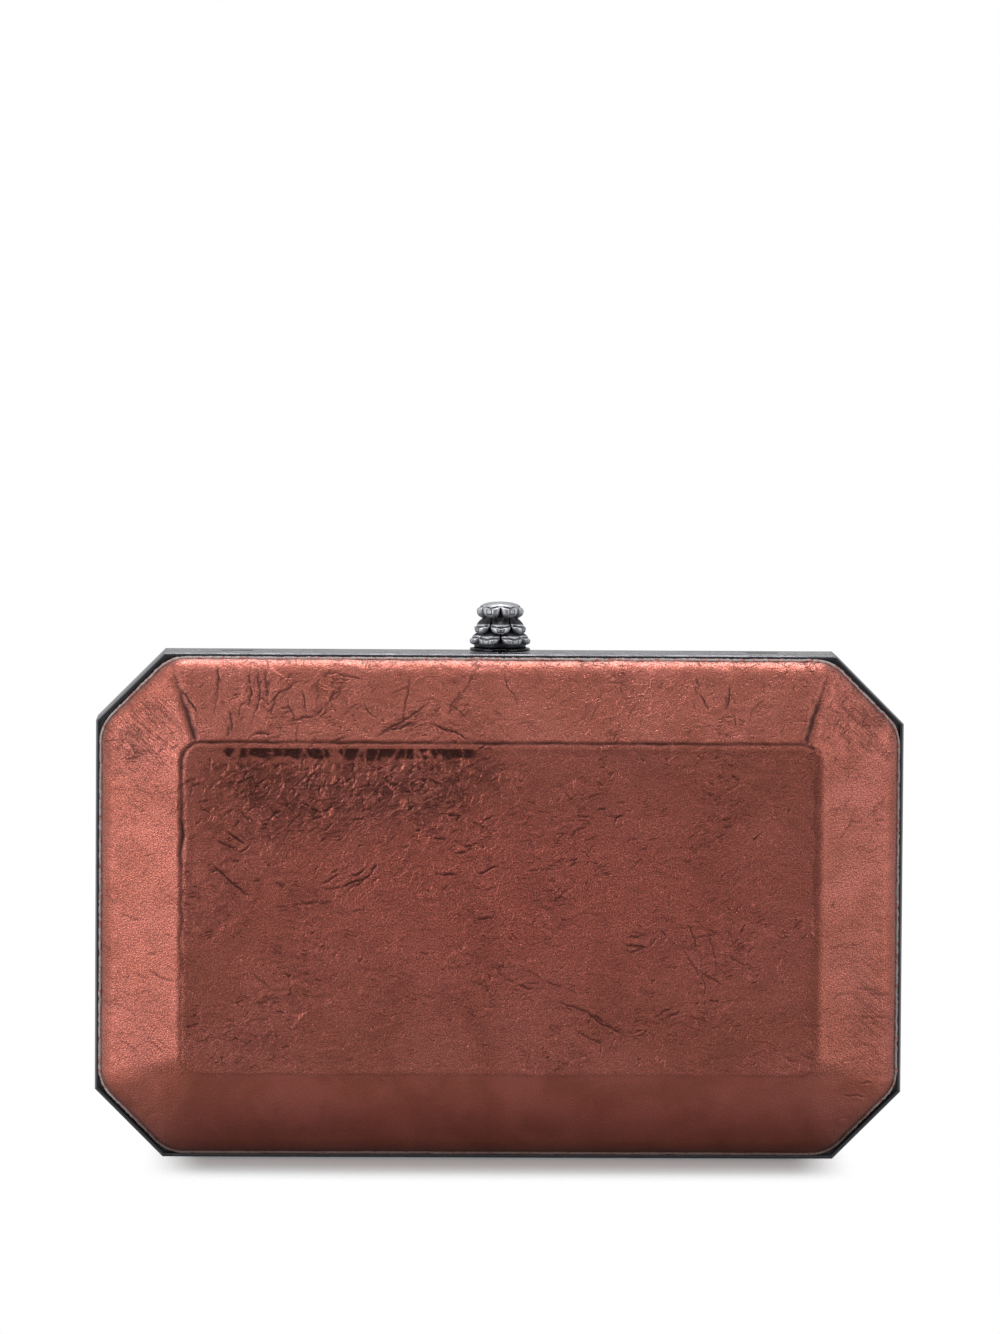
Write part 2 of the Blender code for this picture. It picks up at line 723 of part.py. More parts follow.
def knob_stem():
    """The stem: a guide section in the bushing, stepped down to a pin that carries the latch bar."""
    profile = (
        (0, STEM_LOW),
        (PIN_RADIUS, STEM_LOW),
        (PIN_RADIUS, STEP_Z),
        (STEM_RADIUS, STEP_Z),
        (STEM_RADIUS, BODY_HEIGHT + STEM_REACH),
        (0, BODY_HEIGHT + STEM_REACH),
    )
    return piece(turned("knob_stem", profile, ROUND_STEPS, joined=False), STEEL)


def latch_bar():
    """The bar on the stem; the strikers' arms hook into its two windows."""
    arm_near = SHEET_NEAR
    arm_far = SHEET_FAR
    half_width = ARM_OUTER + ARM_ROOM + BRIDGE_WIDTH
    bar = box(
        "latch_bar",
        (-half_width, -arm_far - ARM_ROOM - BRIDGE_WIDTH, LATCH_LOW),
        (half_width, LATCH_REAR, LATCH_TOP),
    )
    windows = []
    for side in (-1, 1):
        xs = sorted((side * (ARM_INNER - ARM_ROOM), side * (ARM_OUTER + ARM_ROOM)))
        windows.append(
            box(
                "window",
                (xs[0], -arm_far - ARM_ROOM, LATCH_LOW - OVERRUN),
                (xs[1], -arm_near + ARM_ROOM, LATCH_TOP + OVERRUN),
            )
        )
    combine(bar, joined_shapes("latch_bar_cutter_windows", windows))
    hole = rod("latch_bar_cutter_stem", (0, 0, LATCH_LOW - OVERRUN), (0, 0, LATCH_TOP + OVERRUN), PIN_RADIUS + FIT_GAP)
    combine(bar, cutter(hole))
    return piece(bar, STEEL)


def stem_clip():
    """The ring clip that keeps the latch bar on the stem."""
    hole = PIN_RADIUS + FIT_GAP
    low = CLIP_TOP - CLIP_WALL
    profile = ((hole, low), (CLIP_RADIUS, low), (CLIP_RADIUS, CLIP_TOP), (hole, CLIP_TOP))
    return piece(turned("stem_clip", profile, ROUND_STEPS), SPRING_STEEL)


def striker(name, across):
    """A striker on the front ledge, whose arm hangs into a window of the latch bar; across is -1 or 1.

    The arm's tip slopes, so closing the clutch pushes the bar down.
    """
    top = BODY_HEIGHT - RAIL_WALL - FIT_GAP
    low = BODY_HEIGHT - LEDGE_REACH + FIT_GAP
    tip = LATCH_TOP - LATCH_BITE
    outline = (
        (across * ARM_INNER, top),
        (across * ARM_INNER, tip),
        (across * ARM_OUTER, tip),
        (across * ARM_OUTER, low),
        (across * STRIKER_OUTER, low),
        (across * STRIKER_OUTER, top),
    )
    plate = prism(name, outline, 1, -SHEET_FAR, -SHEET_NEAR)
    x = striker_rivet_places()[0 if across < 0 else 1]
    hole = rivet_hole(name, x, BODY_HEIGHT - RIVET_INSET, -1)
    hole.name = name + "_cutter_rivet"
    combine(plate, cutter(hole))
    rise = SHEET_WALL - FIT_GAP + OVERRUN
    slope = (
        (FIT_GAP - SHEET_FAR - OVERRUN, tip - OVERRUN),
        (OVERRUN - SHEET_NEAR, tip + rise),
        (OVERRUN - SHEET_NEAR, tip - OVERRUN),
    )
    xs = sorted((across * (ARM_INNER - OVERRUN), across * (ARM_OUTER + OVERRUN)))
    combine(plate, cutter(prism(name + "_cutter_slope", slope, 0, *xs)))
    return piece(plate, STEEL)


def tube(name, points, radius, look):
    """A wire along a list of points, with its ends closed."""
    line = bpy.data.curves.new(name, "CURVE")
    line.dimensions = "3D"
    line.bevel_depth = radius
    line.bevel_resolution = 1
    line.use_fill_caps = True
    run = line.splines.new("POLY")
    run.points.add(len(points) - 1)
    for place, point in zip(run.points, points):
        place.co = (*point, 1.0)
    run.use_smooth = True
    item = bpy.data.objects.new(name, line)
    bpy.context.scene.collection.objects.link(item)
    line.materials.append(finish(name, look))
    return item


def return_spring():
    """The coil spring that lifts the knob, between the bushing's floor and the step of the stem."""
    low = BORE_FLOOR + FIT_GAP + SPRING_WIRE_RADIUS
    high = STEP_Z - FIT_GAP - SPRING_WIRE_RADIUS
    radius = (PIN_RADIUS + BORE_RADIUS) / 2
    count = SPRING_TURNS * SMALL_STEPS
    points = []
    for step in range(count + 1):
        angle = 2 * pi * step / SMALL_STEPS
        points.append((radius * cos(angle), radius * sin(angle), low + (high - low) * step / count))
    gap = least_self_gap(points, SPRING_WIRE_RADIUS, SMALL_STEPS // 2)
    print(f"return_spring: least gap to itself {gap * 1000:.2f} mm")
    return tube("return_spring", points, SPRING_WIRE_RADIUS, SPRING_STEEL)


def least_self_gap(points, radius, neighbours):
    """The least gap of a tube to itself, measured on its points, leaving out the nearest ones along it."""
    least = None
    for index, point in enumerate(points):
        for other in points[index + neighbours:]:
            gap = (Vector(point) - Vector(other)).length - 2 * radius
            least = gap if least is None else min(least, gap)
    return least


def chain_eye(name, x):
    """A wire eye against the rear ledge, under a slot in the rail."""
    z = BODY_HEIGHT - RIVET_INSET
    half = EYE_WIDTH / 2 - EYE_WIRE_RADIUS
    near = FIT_GAP / 2 + FIT_GAP + EYE_WIRE_RADIUS
    corners = (
        Vector((x - half, SHEET_FAR)),
        Vector((x - half, near)),
        Vector((x + half, near)),
        Vector((x + half, SHEET_FAR)),
    )
    path = [corners[0]]
    path.extend(rounded(*corners[:3], EYE_BEND_RADIUS, CORNER_STEPS))
    path.extend(rounded(*corners[1:], EYE_BEND_RADIUS, CORNER_STEPS))
    path.append(corners[3])
    return tube(name, [(point.x, point.y, z) for point in path], EYE_WIRE_RADIUS, GUNMETAL)


def cut_chain_slots(item):
    """Open the rear rail over the two chain eyes."""
    half = CHAIN_SLOT_WIDTH / 2
    slots = []
    for x in (-CHAIN_X, CHAIN_X):
        low = (x - half, -OVERRUN, BODY_HEIGHT - RAIL_WALL - OVERRUN)
        slots.append(box("slot", low, (x + half, CHAIN_SLOT_DEPTH, BODY_HEIGHT + OVERRUN)))
    combine(item, joined_shapes(item.name + "_cutter_slots", slots))


def carry(name, place, pieces):
    """An empty on a joint's axis that carries the pieces that move about it."""
    empty = bpy.data.objects.new(name, None)
    empty.location = place
    bpy.context.scene.collection.objects.link(empty)
    for item in pieces:
        item.parent = empty
        item.matrix_parent_inverse = Matrix.Translation(-Vector(place))


def half_of_clutch(side, word):
    """The pieces that the two halves share: rail, three panel layers, hinge leaf and its rivets."""
    frame = rail(word + "_frame", side)
    cut_rail(frame, side)
    pieces = [
        frame,
        panel_layer(word + "_leather", side, 0.0, LEATHER_WALL, COPPER_LEATHER),
        panel_layer(word + "_shell", side, SHELL_OFFSET, SHELL_WALL, BOARD),
        panel_layer(word + "_lining", side, LINING_OFFSET, LINING_WALL, LINING_CLOTH),
        hinge_leaf(word + "_hinge_leaf", side, 1 if side < 0 else 0),
    ]
    for place, x in zip(("left", "middle", "right"), hinge_rivet_places()):
        pieces.append(rivet(f"{word}_hinge_rivet_{place}", x, HINGE_RIVET_INSET, side))
    return pieces


def main():
    clear_scene()
    rear = half_of_clutch(1, "rear")
    cut_chain_slots(rear[0])
    hinge_pin()
    clasp_bracket()
    guide_bushing()
    bushing_nut()
    clasp_collar()
    return_spring()
    front = half_of_clutch(-1, "front")
    top_rivet_z = BODY_HEIGHT - RIVET_INSET
    for index, (word, across) in enumerate((("left", -1), ("right", 1))):
        rivet(f"bracket_rivet_{word}", bracket_rivet_places()[index], top_rivet_z, 1)
        chain_eye(f"chain_eye_{word}", across * CHAIN_X)
        front.append(striker(f"striker_{word}", across))
        front.append(rivet(f"striker_rivet_{word}", striker_rivet_places()[index], top_rivet_z, -1))
    carry("front_hinge_axis", (0, 0, HINGE_Z), front)
    carry("knob_axis", (0, 0, BODY_HEIGHT), [knob_cone(), knob_stem(), latch_bar(), stem_clip()])


main()
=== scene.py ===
"""Looks of a hard-framed box clutch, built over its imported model.

The file is laid out as an add-on: settings for the sizes and colours, an operator for each group of like
pieces and one for the stage, and a panel in the 3D view's sidebar. Lengths are in metres, +Z is up and the
front faces -Y. Leather features are placed in millimetres from the middle of the panel.
"""

import json
from math import acos, atan2, cos, pi, radians, sin, sqrt, tan

import bpy
import numpy as np
from mathutils import Matrix, Vector

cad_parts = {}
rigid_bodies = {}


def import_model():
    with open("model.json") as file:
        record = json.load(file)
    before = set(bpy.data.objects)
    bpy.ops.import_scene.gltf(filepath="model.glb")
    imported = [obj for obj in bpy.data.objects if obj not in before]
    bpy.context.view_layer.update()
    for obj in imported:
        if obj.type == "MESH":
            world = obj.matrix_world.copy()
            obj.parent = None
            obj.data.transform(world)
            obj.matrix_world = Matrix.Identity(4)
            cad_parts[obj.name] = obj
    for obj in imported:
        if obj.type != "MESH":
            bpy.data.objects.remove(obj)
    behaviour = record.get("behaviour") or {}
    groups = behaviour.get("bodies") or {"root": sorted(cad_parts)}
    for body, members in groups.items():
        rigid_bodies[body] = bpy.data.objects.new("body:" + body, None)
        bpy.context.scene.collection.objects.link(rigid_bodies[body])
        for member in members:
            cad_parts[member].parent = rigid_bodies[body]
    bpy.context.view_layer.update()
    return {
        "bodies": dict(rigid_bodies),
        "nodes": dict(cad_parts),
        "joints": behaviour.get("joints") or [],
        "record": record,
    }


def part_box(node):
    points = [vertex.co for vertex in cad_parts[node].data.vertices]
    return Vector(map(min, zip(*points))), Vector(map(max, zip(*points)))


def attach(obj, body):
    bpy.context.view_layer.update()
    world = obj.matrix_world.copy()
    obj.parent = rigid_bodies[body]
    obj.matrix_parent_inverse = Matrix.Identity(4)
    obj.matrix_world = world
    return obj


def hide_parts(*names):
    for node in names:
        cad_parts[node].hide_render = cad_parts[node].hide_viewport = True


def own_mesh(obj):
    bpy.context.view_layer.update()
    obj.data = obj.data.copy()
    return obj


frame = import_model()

bl_info = {
    "name": "Box clutch looks",
    "version": (1, 0, 0),
    "blender": (4, 5, 0),
    "location": "3D View > Sidebar > Clutch",
    "description": "Leather, metal, lining and studio of a hard-framed box clutch",
    "category": "Object",
}

RAIL_LOW, RAIL_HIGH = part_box("front_frame")
LEATHER_LOW, LEATHER_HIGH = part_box("front_leather")
KNOB_LOW, KNOB_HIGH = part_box("knob_cone")
SPRING_LOW, SPRING_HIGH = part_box("return_spring")

BODY_WIDTH = RAIL_HIGH.x - RAIL_LOW.x
BODY_HEIGHT = RAIL_HIGH.z - RAIL_LOW.z
RAIL_DEPTH = -RAIL_LOW.y
PANEL_INSET = LEATHER_LOW.x - RAIL_LOW.x
HALF_DEPTH = -LEATHER_LOW.y
SEAT = -LEATHER_HIGH.y
LINING_FACE = 0.0041
MM = 0.001


def length_setting(name, description, default):
    """A length, in metres."""
    return bpy.props.FloatProperty(name=name, description=description, default=default, unit="LENGTH")


def colour_setting(name, description, default):
    """A colour."""
    return bpy.props.FloatVectorProperty(name=name, description=description, default=default, subtype="COLOR")


def number_setting(name, description, default, subtype="NONE"):
    """A number, or an angle in radians."""
    return bpy.props.FloatProperty(name=name, description=description, default=default, subtype=subtype)


class LeatherSettings(bpy.types.PropertyGroup):
    """Sizes and colours of the leather panels."""

    corner_leg: length_setting("Cut corner", "Leg of the panel's cut corners", 0.0168)
    corner_round: length_setting("Corner round", "Radius at both ends of a cut corner", 0.009)
    table_inset: length_setting("Table inset", "From the rail's edge to the raised table", 0.0204)
    table_corner: length_setting("Table corner", "Radius of the table's corners", 0.005)
    girdle_rise: length_setting("Girdle rise", "Height of the upright edge over the rail", 0.0026)
    girdle_lean: length_setting("Girdle lean", "How far the upright edge leans in", 0.0015)
    girdle_round: length_setting("Girdle round", "Radius from the upright edge to the facet", 0.0062)
    table_round: length_setting("Table round", "Radius from the facet to the table", 0.003)
    point_gap: length_setting("Point spacing", "Spacing of the leather's mesh", 0.00025)
    copper: colour_setting("Copper", "Metallic film of the leather", (0.655, 0.197, 0.145))
    rust: colour_setting("Rust", "Warmer, thinner film", (0.56, 0.160, 0.108))
    # Rich is the copper of a painted highlight: the pool of light in the middle of the table and the lit
    # ridges of the net.
    highlight_copper: colour_setting("Rich", "Thicker film in the middle of the table", (0.84, 0.21, 0.155))
    burnt: colour_setting("Burnt", "Dark, burnished patches", (0.17, 0.042, 0.032))
    # Frayed is the pale colour of a painted reflection on the upright edge beside the rail.
    girdle_sheen_colour: colour_setting("Frayed", "Stretched leather beside its cut edge", (0.34, 0.20, 0.18))
    raw_edge: colour_setting("Raw edge", "Cut edge of the leather", (0.70, 0.60, 0.58))


class MetalSettings(bpy.types.PropertyGroup):
    """Colours and edges of the metal pieces."""

    gunmetal: colour_setting("Gunmetal", "Plating of the rails", (0.20, 0.20, 0.215))
    black: colour_setting("Black", "Plating of the disc under the knob", (0.022, 0.022, 0.026))
    silver: colour_setting("Old silver", "Plating of the knob", (0.58, 0.59, 0.62))
    steel: colour_setting("Steel", "Hinge and latch pieces", (0.46, 0.45, 0.44))
    edge_bevel: length_setting("Edge bevel", "Bevel that catches the light on metal edges", 0.00018)


class LiningSettings(bpy.types.PropertyGroup):
    """Colours of the lining and the board under it."""

    suede: colour_setting("Suede", "Lining nap", (0.050, 0.036, 0.031))
    board: colour_setting("Board", "Moulded board", (0.17, 0.13, 0.10))
    cloth: length_setting("Cloth", "Thickness of the lining", 0.0006)


class StageSettings(bpy.types.PropertyGroup):
    """Camera, lamps and floor."""

    lens: number_setting("Lens", "Focal length in millimetres", 217.6)
    eye: bpy.props.FloatVectorProperty(
        name="Eye",
        description="Camera's place",
        default=(-0.04607, -1.9, 0.23013),
        subtype="XYZ",
        precision=5,
    )
    yaw: number_setting("Yaw", "Camera's turn to the right", radians(1.390), "ANGLE")
    pitch: number_setting("Pitch", "Camera's tilt upwards", radians(-3.454), "ANGLE")
    roll: number_setting("Roll", "Camera's roll", radians(0.375), "ANGLE")
    key: number_setting("Key", "Power of the left lamp in watts", 8.6)
    fill: number_setting("Fill", "Power of the right lamp in watts", 3.8)
    top: number_setting("Top", "Power of the overhead lamp in watts", 7.7)
    floor_radius: length_setting("Floor", "Radius of the pale floor", 0.15)


def fill_inputs(tree, item, sockets):
    """Give a node's inputs, by name or place, their values or the outputs that feed them."""
    for name, value in sockets.items():
        if isinstance(value, bpy.types.NodeSocket):
            tree.links.new(value, item.inputs[name])
        else:
            item.inputs[name].default_value = value


def node(tree, kind, sockets=None, **settings):
    """Add a node with its settings and inputs."""
    item = tree.nodes.new(kind)
    for name, value in settings.items():
        setattr(item, name, value)
    fill_inputs(tree, item, sockets or {})
    return item


def maths(tree, operation, *values):
    """The result of one sum on values."""
    return node(tree, "ShaderNodeMath", dict(enumerate(values)), operation=operation).outputs[0]


def times(tree, *values):
    """The product of two values or more."""
    product = values[0]
    for value in values[1:]:
        product = maths(tree, "MULTIPLY", product, value)
    return product


def highest(tree, *values):
    """The highest of two values or more."""
    top = values[0]
    for value in values[1:]:
        top = maths(tree, "MAXIMUM", top, value)
    return top


def rest(tree, value):
    """What a share leaves of 1."""
    return maths(tree, "SUBTRACT", 1.0, value)


def vectors(tree, operation, first, second):
    """The result of one sum on vectors."""
    return node(tree, "ShaderNodeVectorMath", {0: first, 1: second}, operation=operation).outputs[0]


def scaled(tree, vector, scale):
    """A vector times a number."""
    return node(tree, "ShaderNodeVectorMath", {0: vector, "Scale": scale}, operation="SCALE").outputs[0]


def ramp(tree, value, low, high, out_low=0.0, out_high=1.0):
    """A value eased from out_low to out_high while the input goes from low to high."""
    sockets = {"Value": value, "From Min": low, "From Max": high, "To Min": out_low, "To Max": out_high}
    return node(tree, "ShaderNodeMapRange", sockets, interpolation_type="SMOOTHSTEP").outputs["Result"]


def mixed(tree, share, first, second):
    """Two colours mixed by a share."""
    return node(tree, "ShaderNodeMix", {0: share, 6: first, 7: second}, data_type="RGBA").outputs[2]


def opaque(colour, share=1.0):
    """A colour, or a share of it, with its alpha."""
    return (*(channel * share for channel in colour), 1.0)


def noise(tree, place, scale, detail=2.0, roughness=0.5, dimensions="3D"):
    """A noise texture's outputs."""
    sockets = {"Vector": place, "Scale": scale, "Detail": detail, "Roughness": roughness}
    return node(tree, "ShaderNodeTexNoise", sockets, noise_dimensions=dimensions).outputs


def cells(tree, place, scale=1.0, feature="F1", dimensions="2D"):
    """A cell texture's outputs."""
    sockets = {"Vector": place, "Scale": scale}
    return node(tree, "ShaderNodeTexVoronoi", sockets, feature=feature, voronoi_dimensions=dimensions).outputs


def flat_noise(tree, place, scale, low, high, out_high=1.0):
    """Noise on a flat place, eased between two levels."""
    return ramp(tree, noise(tree, place, scale, 3.0, 0.6, "2D")["Fac"], low, high, 0.0, out_high)


def mask_of(tree, name):
    """A mask that the piece's mesh carries."""
    return node(tree, "ShaderNodeAttribute", attribute_name=name).outputs["Fac"]


def own_place(tree):
    """The piece's own coordinates."""
    return node(tree, "ShaderNodeTexCoord").outputs["Object"]


def millimetres(tree):
    """The piece's own coordinates, in millimetres."""
    return scaled(tree, own_place(tree), 1 / MM)


def bumped(tree, height, strength, distance):
    """A normal that follows a height."""
    sockets = {"Height": height, "Strength": strength, "Distance": distance}
    return node(tree, "ShaderNodeBump", sockets).outputs[0]


def group_of(name, inputs, outputs, fill):
    """A shader node group, built once, from its inputs' defaults, its outputs' names and what fills it."""
    tree = bpy.data.node_groups.get(name)
    if tree:
        return tree
    tree = bpy.data.node_groups.new(name, "ShaderNodeTree")
    for label, value in inputs.items():
        kind = "NodeSocketVector" if isinstance(value, tuple) else "NodeSocketFloat"
        tree.interface.new_socket(name=label, in_out="INPUT", socket_type=kind).default_value = value
    for label in outputs:
        tree.interface.new_socket(name=label, in_out="OUTPUT", socket_type="NodeSocketFloat")
    start = tree.nodes.new("NodeGroupInput")
    end = tree.nodes.new("NodeGroupOutput")
    fill_inputs(tree, end, fill(tree, start.outputs))
    return tree


def placed(tree, group, sockets):
    """The outputs of a group that is placed in a material with its own values."""
    return node(tree, "ShaderNodeGroup", sockets, node_tree=group).outputs


def grain_group():
    """Pebbled grain: a height between 0 and 1, with a finer speckle."""

    def fill(tree, given):
        pebbles = cells(tree, given["Place"], given["Scale"], dimensions="3D")["Distance"]
        fine = noise(tree, given["Place"], times(tree, given["Scale"], 1.6), 2.0, 0.6)["Fac"]
        speckle = noise(tree, given["Place"], times(tree, given["Scale"], 1.35), 2.0, 0.8)["Fac"]
        return {
            "Height": maths(tree, "MULTIPLY_ADD", pebbles, -0.6, fine),
            "Speckle": ramp(tree, speckle, 0.42, 0.58),
        }

    return group_of("clutch_grain", {"Place": (0.0, 0.0, 0.0), "Scale": 1.5}, ("Height", "Speckle"), fill)


def handling_group():
    """Smudges and hair scratches of handled metal: a mask of each, and a roughness."""

    def fill(tree, given):
        smudge = ramp(tree, noise(tree, given["Place"], given["Smudge Scale"], 3.0, 0.6)["Fac"], 0.38, 0.68)
        sockets = {"Vector": given["Place"], "Scale": given["Brush"]}
        stretched = node(tree, "ShaderNodeMapping", sockets).outputs[0]
        lines = noise(tree, stretched, 1.0, 2.0, 0.7)["Fac"]
        hair = ramp(tree, lines, 0.60, 0.72)
        rough = maths(tree, "MULTIPLY_ADD", smudge, given["Smudge"], given["Roughness"])
        rough = maths(tree, "MULTIPLY_ADD", hair, given["Hair"], rough)
        return {"Smudges": smudge, "Hairlines": hair, "Roughness": rough, "Lines": lines}

    inputs = {
        "Place": (0.0, 0.0, 0.0),
        "Smudge Scale": 0.12,
        "Brush": (0.2, 4.0, 4.0),
        "Roughness": 0.2,
        "Smudge": 0.1,
        "Hair": 0.08,
    }
    return group_of("clutch_handling", inputs, ("Smudges", "Hairlines", "Roughness", "Lines"), fill)


def squeezed(tree, given):
    """A group's place, turned and squeezed as its inputs say."""
    sockets = {"Vector": given["Place"], "Angle": given["Turn"]}
    turned = node(tree, "ShaderNodeVectorRotate", sockets).outputs[0]
    return vectors(tree, "MULTIPLY", turned, given["Squeeze"])


def crease_group():
    """Fine creases on a flat place: broken dashes that run one way, and thin wandering lines."""

    def fill(tree, given):
        place = squeezed(tree, given)
        dashes = cells(tree, place)
        chosen = node(tree, "ShaderNodeSeparateColor", {0: dashes["Color"]}).outputs[0]
        shape = ramp(tree, dashes["Distance"], 0.12, 0.24, 1.0, 0.0)
        level = noise(tree, place, 0.7, 2.0, 0.55, "2D")["Fac"]
        away = maths(tree, "ABSOLUTE", maths(tree, "SUBTRACT", level, 0.5))
        return {
            "Dashes": times(tree, shape, ramp(tree, chosen, 0.40, 0.50)),
            "Lines": ramp(tree, away, 0.0, given["Line Width"], 1.0, 0.0),
        }

    inputs = {"Place": (0.0, 0.0, 0.0), "Turn": 0.5, "Squeeze": (0.4, 1.6, 1.0), "Line Width": 0.02}
    return group_of("clutch_creases", inputs, ("Dashes", "Lines"), fill)


def web_group():
    """Raised creases that meet in a broken net, as in crushed leather."""

    def fill(tree, given):
        place = squeezed(tree, given)
        stir = noise(tree, place, 1.1, 3.0, dimensions="2D")["Color"]
        sockets = {0: stir, 1: (0.9, 0.9, 0.0), 2: place}
        strayed = node(tree, "ShaderNodeVectorMath", sockets, operation="MULTIPLY_ADD").outputs[0]
        edge = cells(tree, strayed, feature="DISTANCE_TO_EDGE")["Distance"]
        broken = noise(tree, place, 0.8, dimensions="2D")["Fac"]
        line = ramp(tree, edge, 0.0, given["Width"], 1.0, 0.0)
        return {"Ridges": times(tree, line, ramp(tree, broken, 0.40, 0.52))}

    inputs = {"Place": (0.0, 0.0, 0.0), "Turn": 0.5, "Squeeze": (0.3, 0.6, 1.0), "Width": 0.08}
    return group_of("clutch_web", inputs, ("Ridges",), fill)


def new_material(name):
    """An empty material: its tree and its Principled shader."""
    material = bpy.data.materials.new(name)
    material.use_nodes = True
    tree = material.node_tree
    return material, tree, tree.nodes["Principled BSDF"]


def leather_marks(tree, place, warped):
    """Masks of the leather's dashes, lines and pleats, and of a net's ridges, which carry a painted
    highlight, with the painted shadows beside them.
    """
    crinkled = mask_of(tree, "crinkle")
    webbed = mask_of(tree, "web")
    slow = {"Place": warped, "Turn": radians(-26), "Squeeze": (0.17, 1.25, 1.0)}
    steep = {"Place": warped, "Turn": radians(24), "Squeeze": (0.23, 1.6, 1.0)}
    fan = {"Place": place, "Turn": radians(41), "Squeeze": (0.055, 1.7, 1.0), "Line Width": 0.05}
    net = {"Place": warped, "Turn": radians(-38), "Squeeze": (0.24, 0.50, 1.0), "Width": 0.066}
    rising = placed(tree, crease_group(), slow)
    falling = placed(tree, crease_group(), steep)
    ridges = times(tree, placed(tree, web_group(), net)["Ridges"], webbed)
    net["Place"] = vectors(tree, "ADD", warped, (-0.26, 0.30, 0.0))
    some = times(tree, flat_noise(tree, place, 0.20, 0.45, 0.57), crinkled)
    others = times(tree, flat_noise(tree, warped, 0.33, 0.46, 0.58), crinkled)
    return {
        "dash": times(tree, rising["Dashes"], some),
        "cross_dash": times(tree, falling["Dashes"], others),
        "line": times(tree, rising["Lines"], others),
        "cross_line": times(tree, falling["Lines"], some),
        "pleat": times(tree, placed(tree, crease_group(), fan)["Lines"], mask_of(tree, "pleat")),
        "ridge_and_highlight": ridges,
        "shade": times(tree, placed(tree, web_group(), net)["Ridges"], webbed, rest(tree, ridges)),
    }


def leather_colour(tree, place, warped, marks, speckle):
    """Copper film: patchy in tone, with painted highlight in the middle of the table and on the net's ridges,
    painted pale reflection at the edge, painted shade in the creases, painted dark reflection under the top
    edge, darker patches, and painted shade towards the bottom.
    """
    colours = bpy.context.scene.clutch_leather
    highlight_copper, burnt = opaque(colours.highlight_copper), opaque(colours.burnt)
    # burnished reads painted dark reflection and shade, with darker patches; thick reads the film mask, a
    # painted highlight.
    crinkled, burnished, thick = (mask_of(tree, name) for name in ("crinkle", "patches_and_painted_shade", "film"))
    tone = flat_noise(tree, place, 0.05, 0.34, 0.66)
    colour = mixed(tree, tone, opaque(colours.copper), opaque(colours.rust))
    # Painted highlight: a broad pool of lighter copper in the middle of the table.
    colour = mixed(tree, thick, colour, highlight_copper)
    colour = mixed(tree, flat_noise(tree, warped, 0.09, 0.44, 0.68, 0.16), colour, burnt)
    worn = times(tree, flat_noise(tree, warped, 0.9, 0.48, 0.66, 0.16), crinkled)
    colour = mixed(tree, worn, colour, burnt)
    # Painted reflection: the upright edge beside the rail is paled as if it reflected the white room.
    colour = mixed(tree, times(tree, mask_of(tree, "painted_girdle_sheen"), 0.6), colour, opaque(colours.girdle_sheen_colour))
    strength = maths(tree, "MULTIPLY_ADD", thick, 0.20, ramp(tree, crinkled, 0.02, 0.14, 0.30, 0.72))
    colour = mixed(tree, times(tree, speckle, strength), colour, (0.165, 0.046, 0.035, 1.0))
    # Painted shade in the grooves of dashes, lines, creases and pleats and beside the net's ridges, with the
    # painted dark reflection and shade of the burnish mask.
    dark = highest(
        tree,
        times(tree, highest(tree, marks["dash"], marks["cross_dash"]), 0.75),
        times(tree, highest(tree, marks["line"], marks["cross_line"]), 0.40),
        mask_of(tree, "crease"),
        times(tree, marks["pleat"], 0.46),
        times(tree, burnished, 0.88),
        times(tree, marks["shade"], 0.80),
    )
    dark = times(tree, dark, rest(tree, times(tree, marks["ridge_and_highlight"], 0.9)))
    colour = mixed(tree, dark, colour, (0.070, 0.018, 0.014, 1.0))
    # Painted dark reflection and shade, deepest where that mask is strong.
    colour = mixed(tree, times(tree, burnished, 0.7), colour, (0.030, 0.009, 0.007, 1.0))
    # Painted highlight along the net's ridges.
    return mixed(tree, times(tree, marks["ridge_and_highlight"], 0.30), colour, highlight_copper)


def leather_material():
    """Crinkled metallic copper leather. The panel's own masks say where it creases and pleats, and where
    painted highlight, reflection and shade go.
    """
    material, tree, shader = new_material("copper_leather")
    parts = node(tree, "ShaderNodeSeparateXYZ", {0: millimetres(tree)}).outputs
    place = node(tree, "ShaderNodeCombineXYZ", {0: parts["X"], 1: parts["Z"]}).outputs[0]
    drift = noise(tree, place, 0.10, 3.0, dimensions="2D")["Color"]
    swing = scaled(tree, vectors(tree, "SUBTRACT", drift, (0.5, 0.5, 0.5)), 9.0)
    warped = vectors(tree, "ADD", place, swing)
    marks = leather_marks(tree, place, warped)
    grain = placed(tree, grain_group(), {"Place": place, "Scale": 2.3})
    rough = maths(tree, "MULTIPLY_ADD", grain["Speckle"], 0.10, 0.37)
    height = maths(tree, "MULTIPLY_ADD", grain["Height"], 0.55, marks["ridge_and_highlight"])
    depths = {"dash": 1.1, "cross_dash": 1.0, "pleat": 0.7, "line": 0.6, "cross_line": 0.6}
    for name, depth in depths.items():
        height = maths(tree, "SUBTRACT", height, times(tree, marks[name], depth))
    sockets = {
        "Base Color": leather_colour(tree, place, warped, marks, grain["Speckle"]),
        "Roughness": maths(tree, "SUBTRACT", rough, times(tree, mask_of(tree, "patches_and_painted_shade"), 0.14)),
        "Metallic": 0.72,
        "Coat Weight": 0.12,
        "Coat Roughness": 0.30,
        "Normal": bumped(tree, height, 1.0, 0.00013),
    }
    fill_inputs(tree, shader, sockets)
    return material


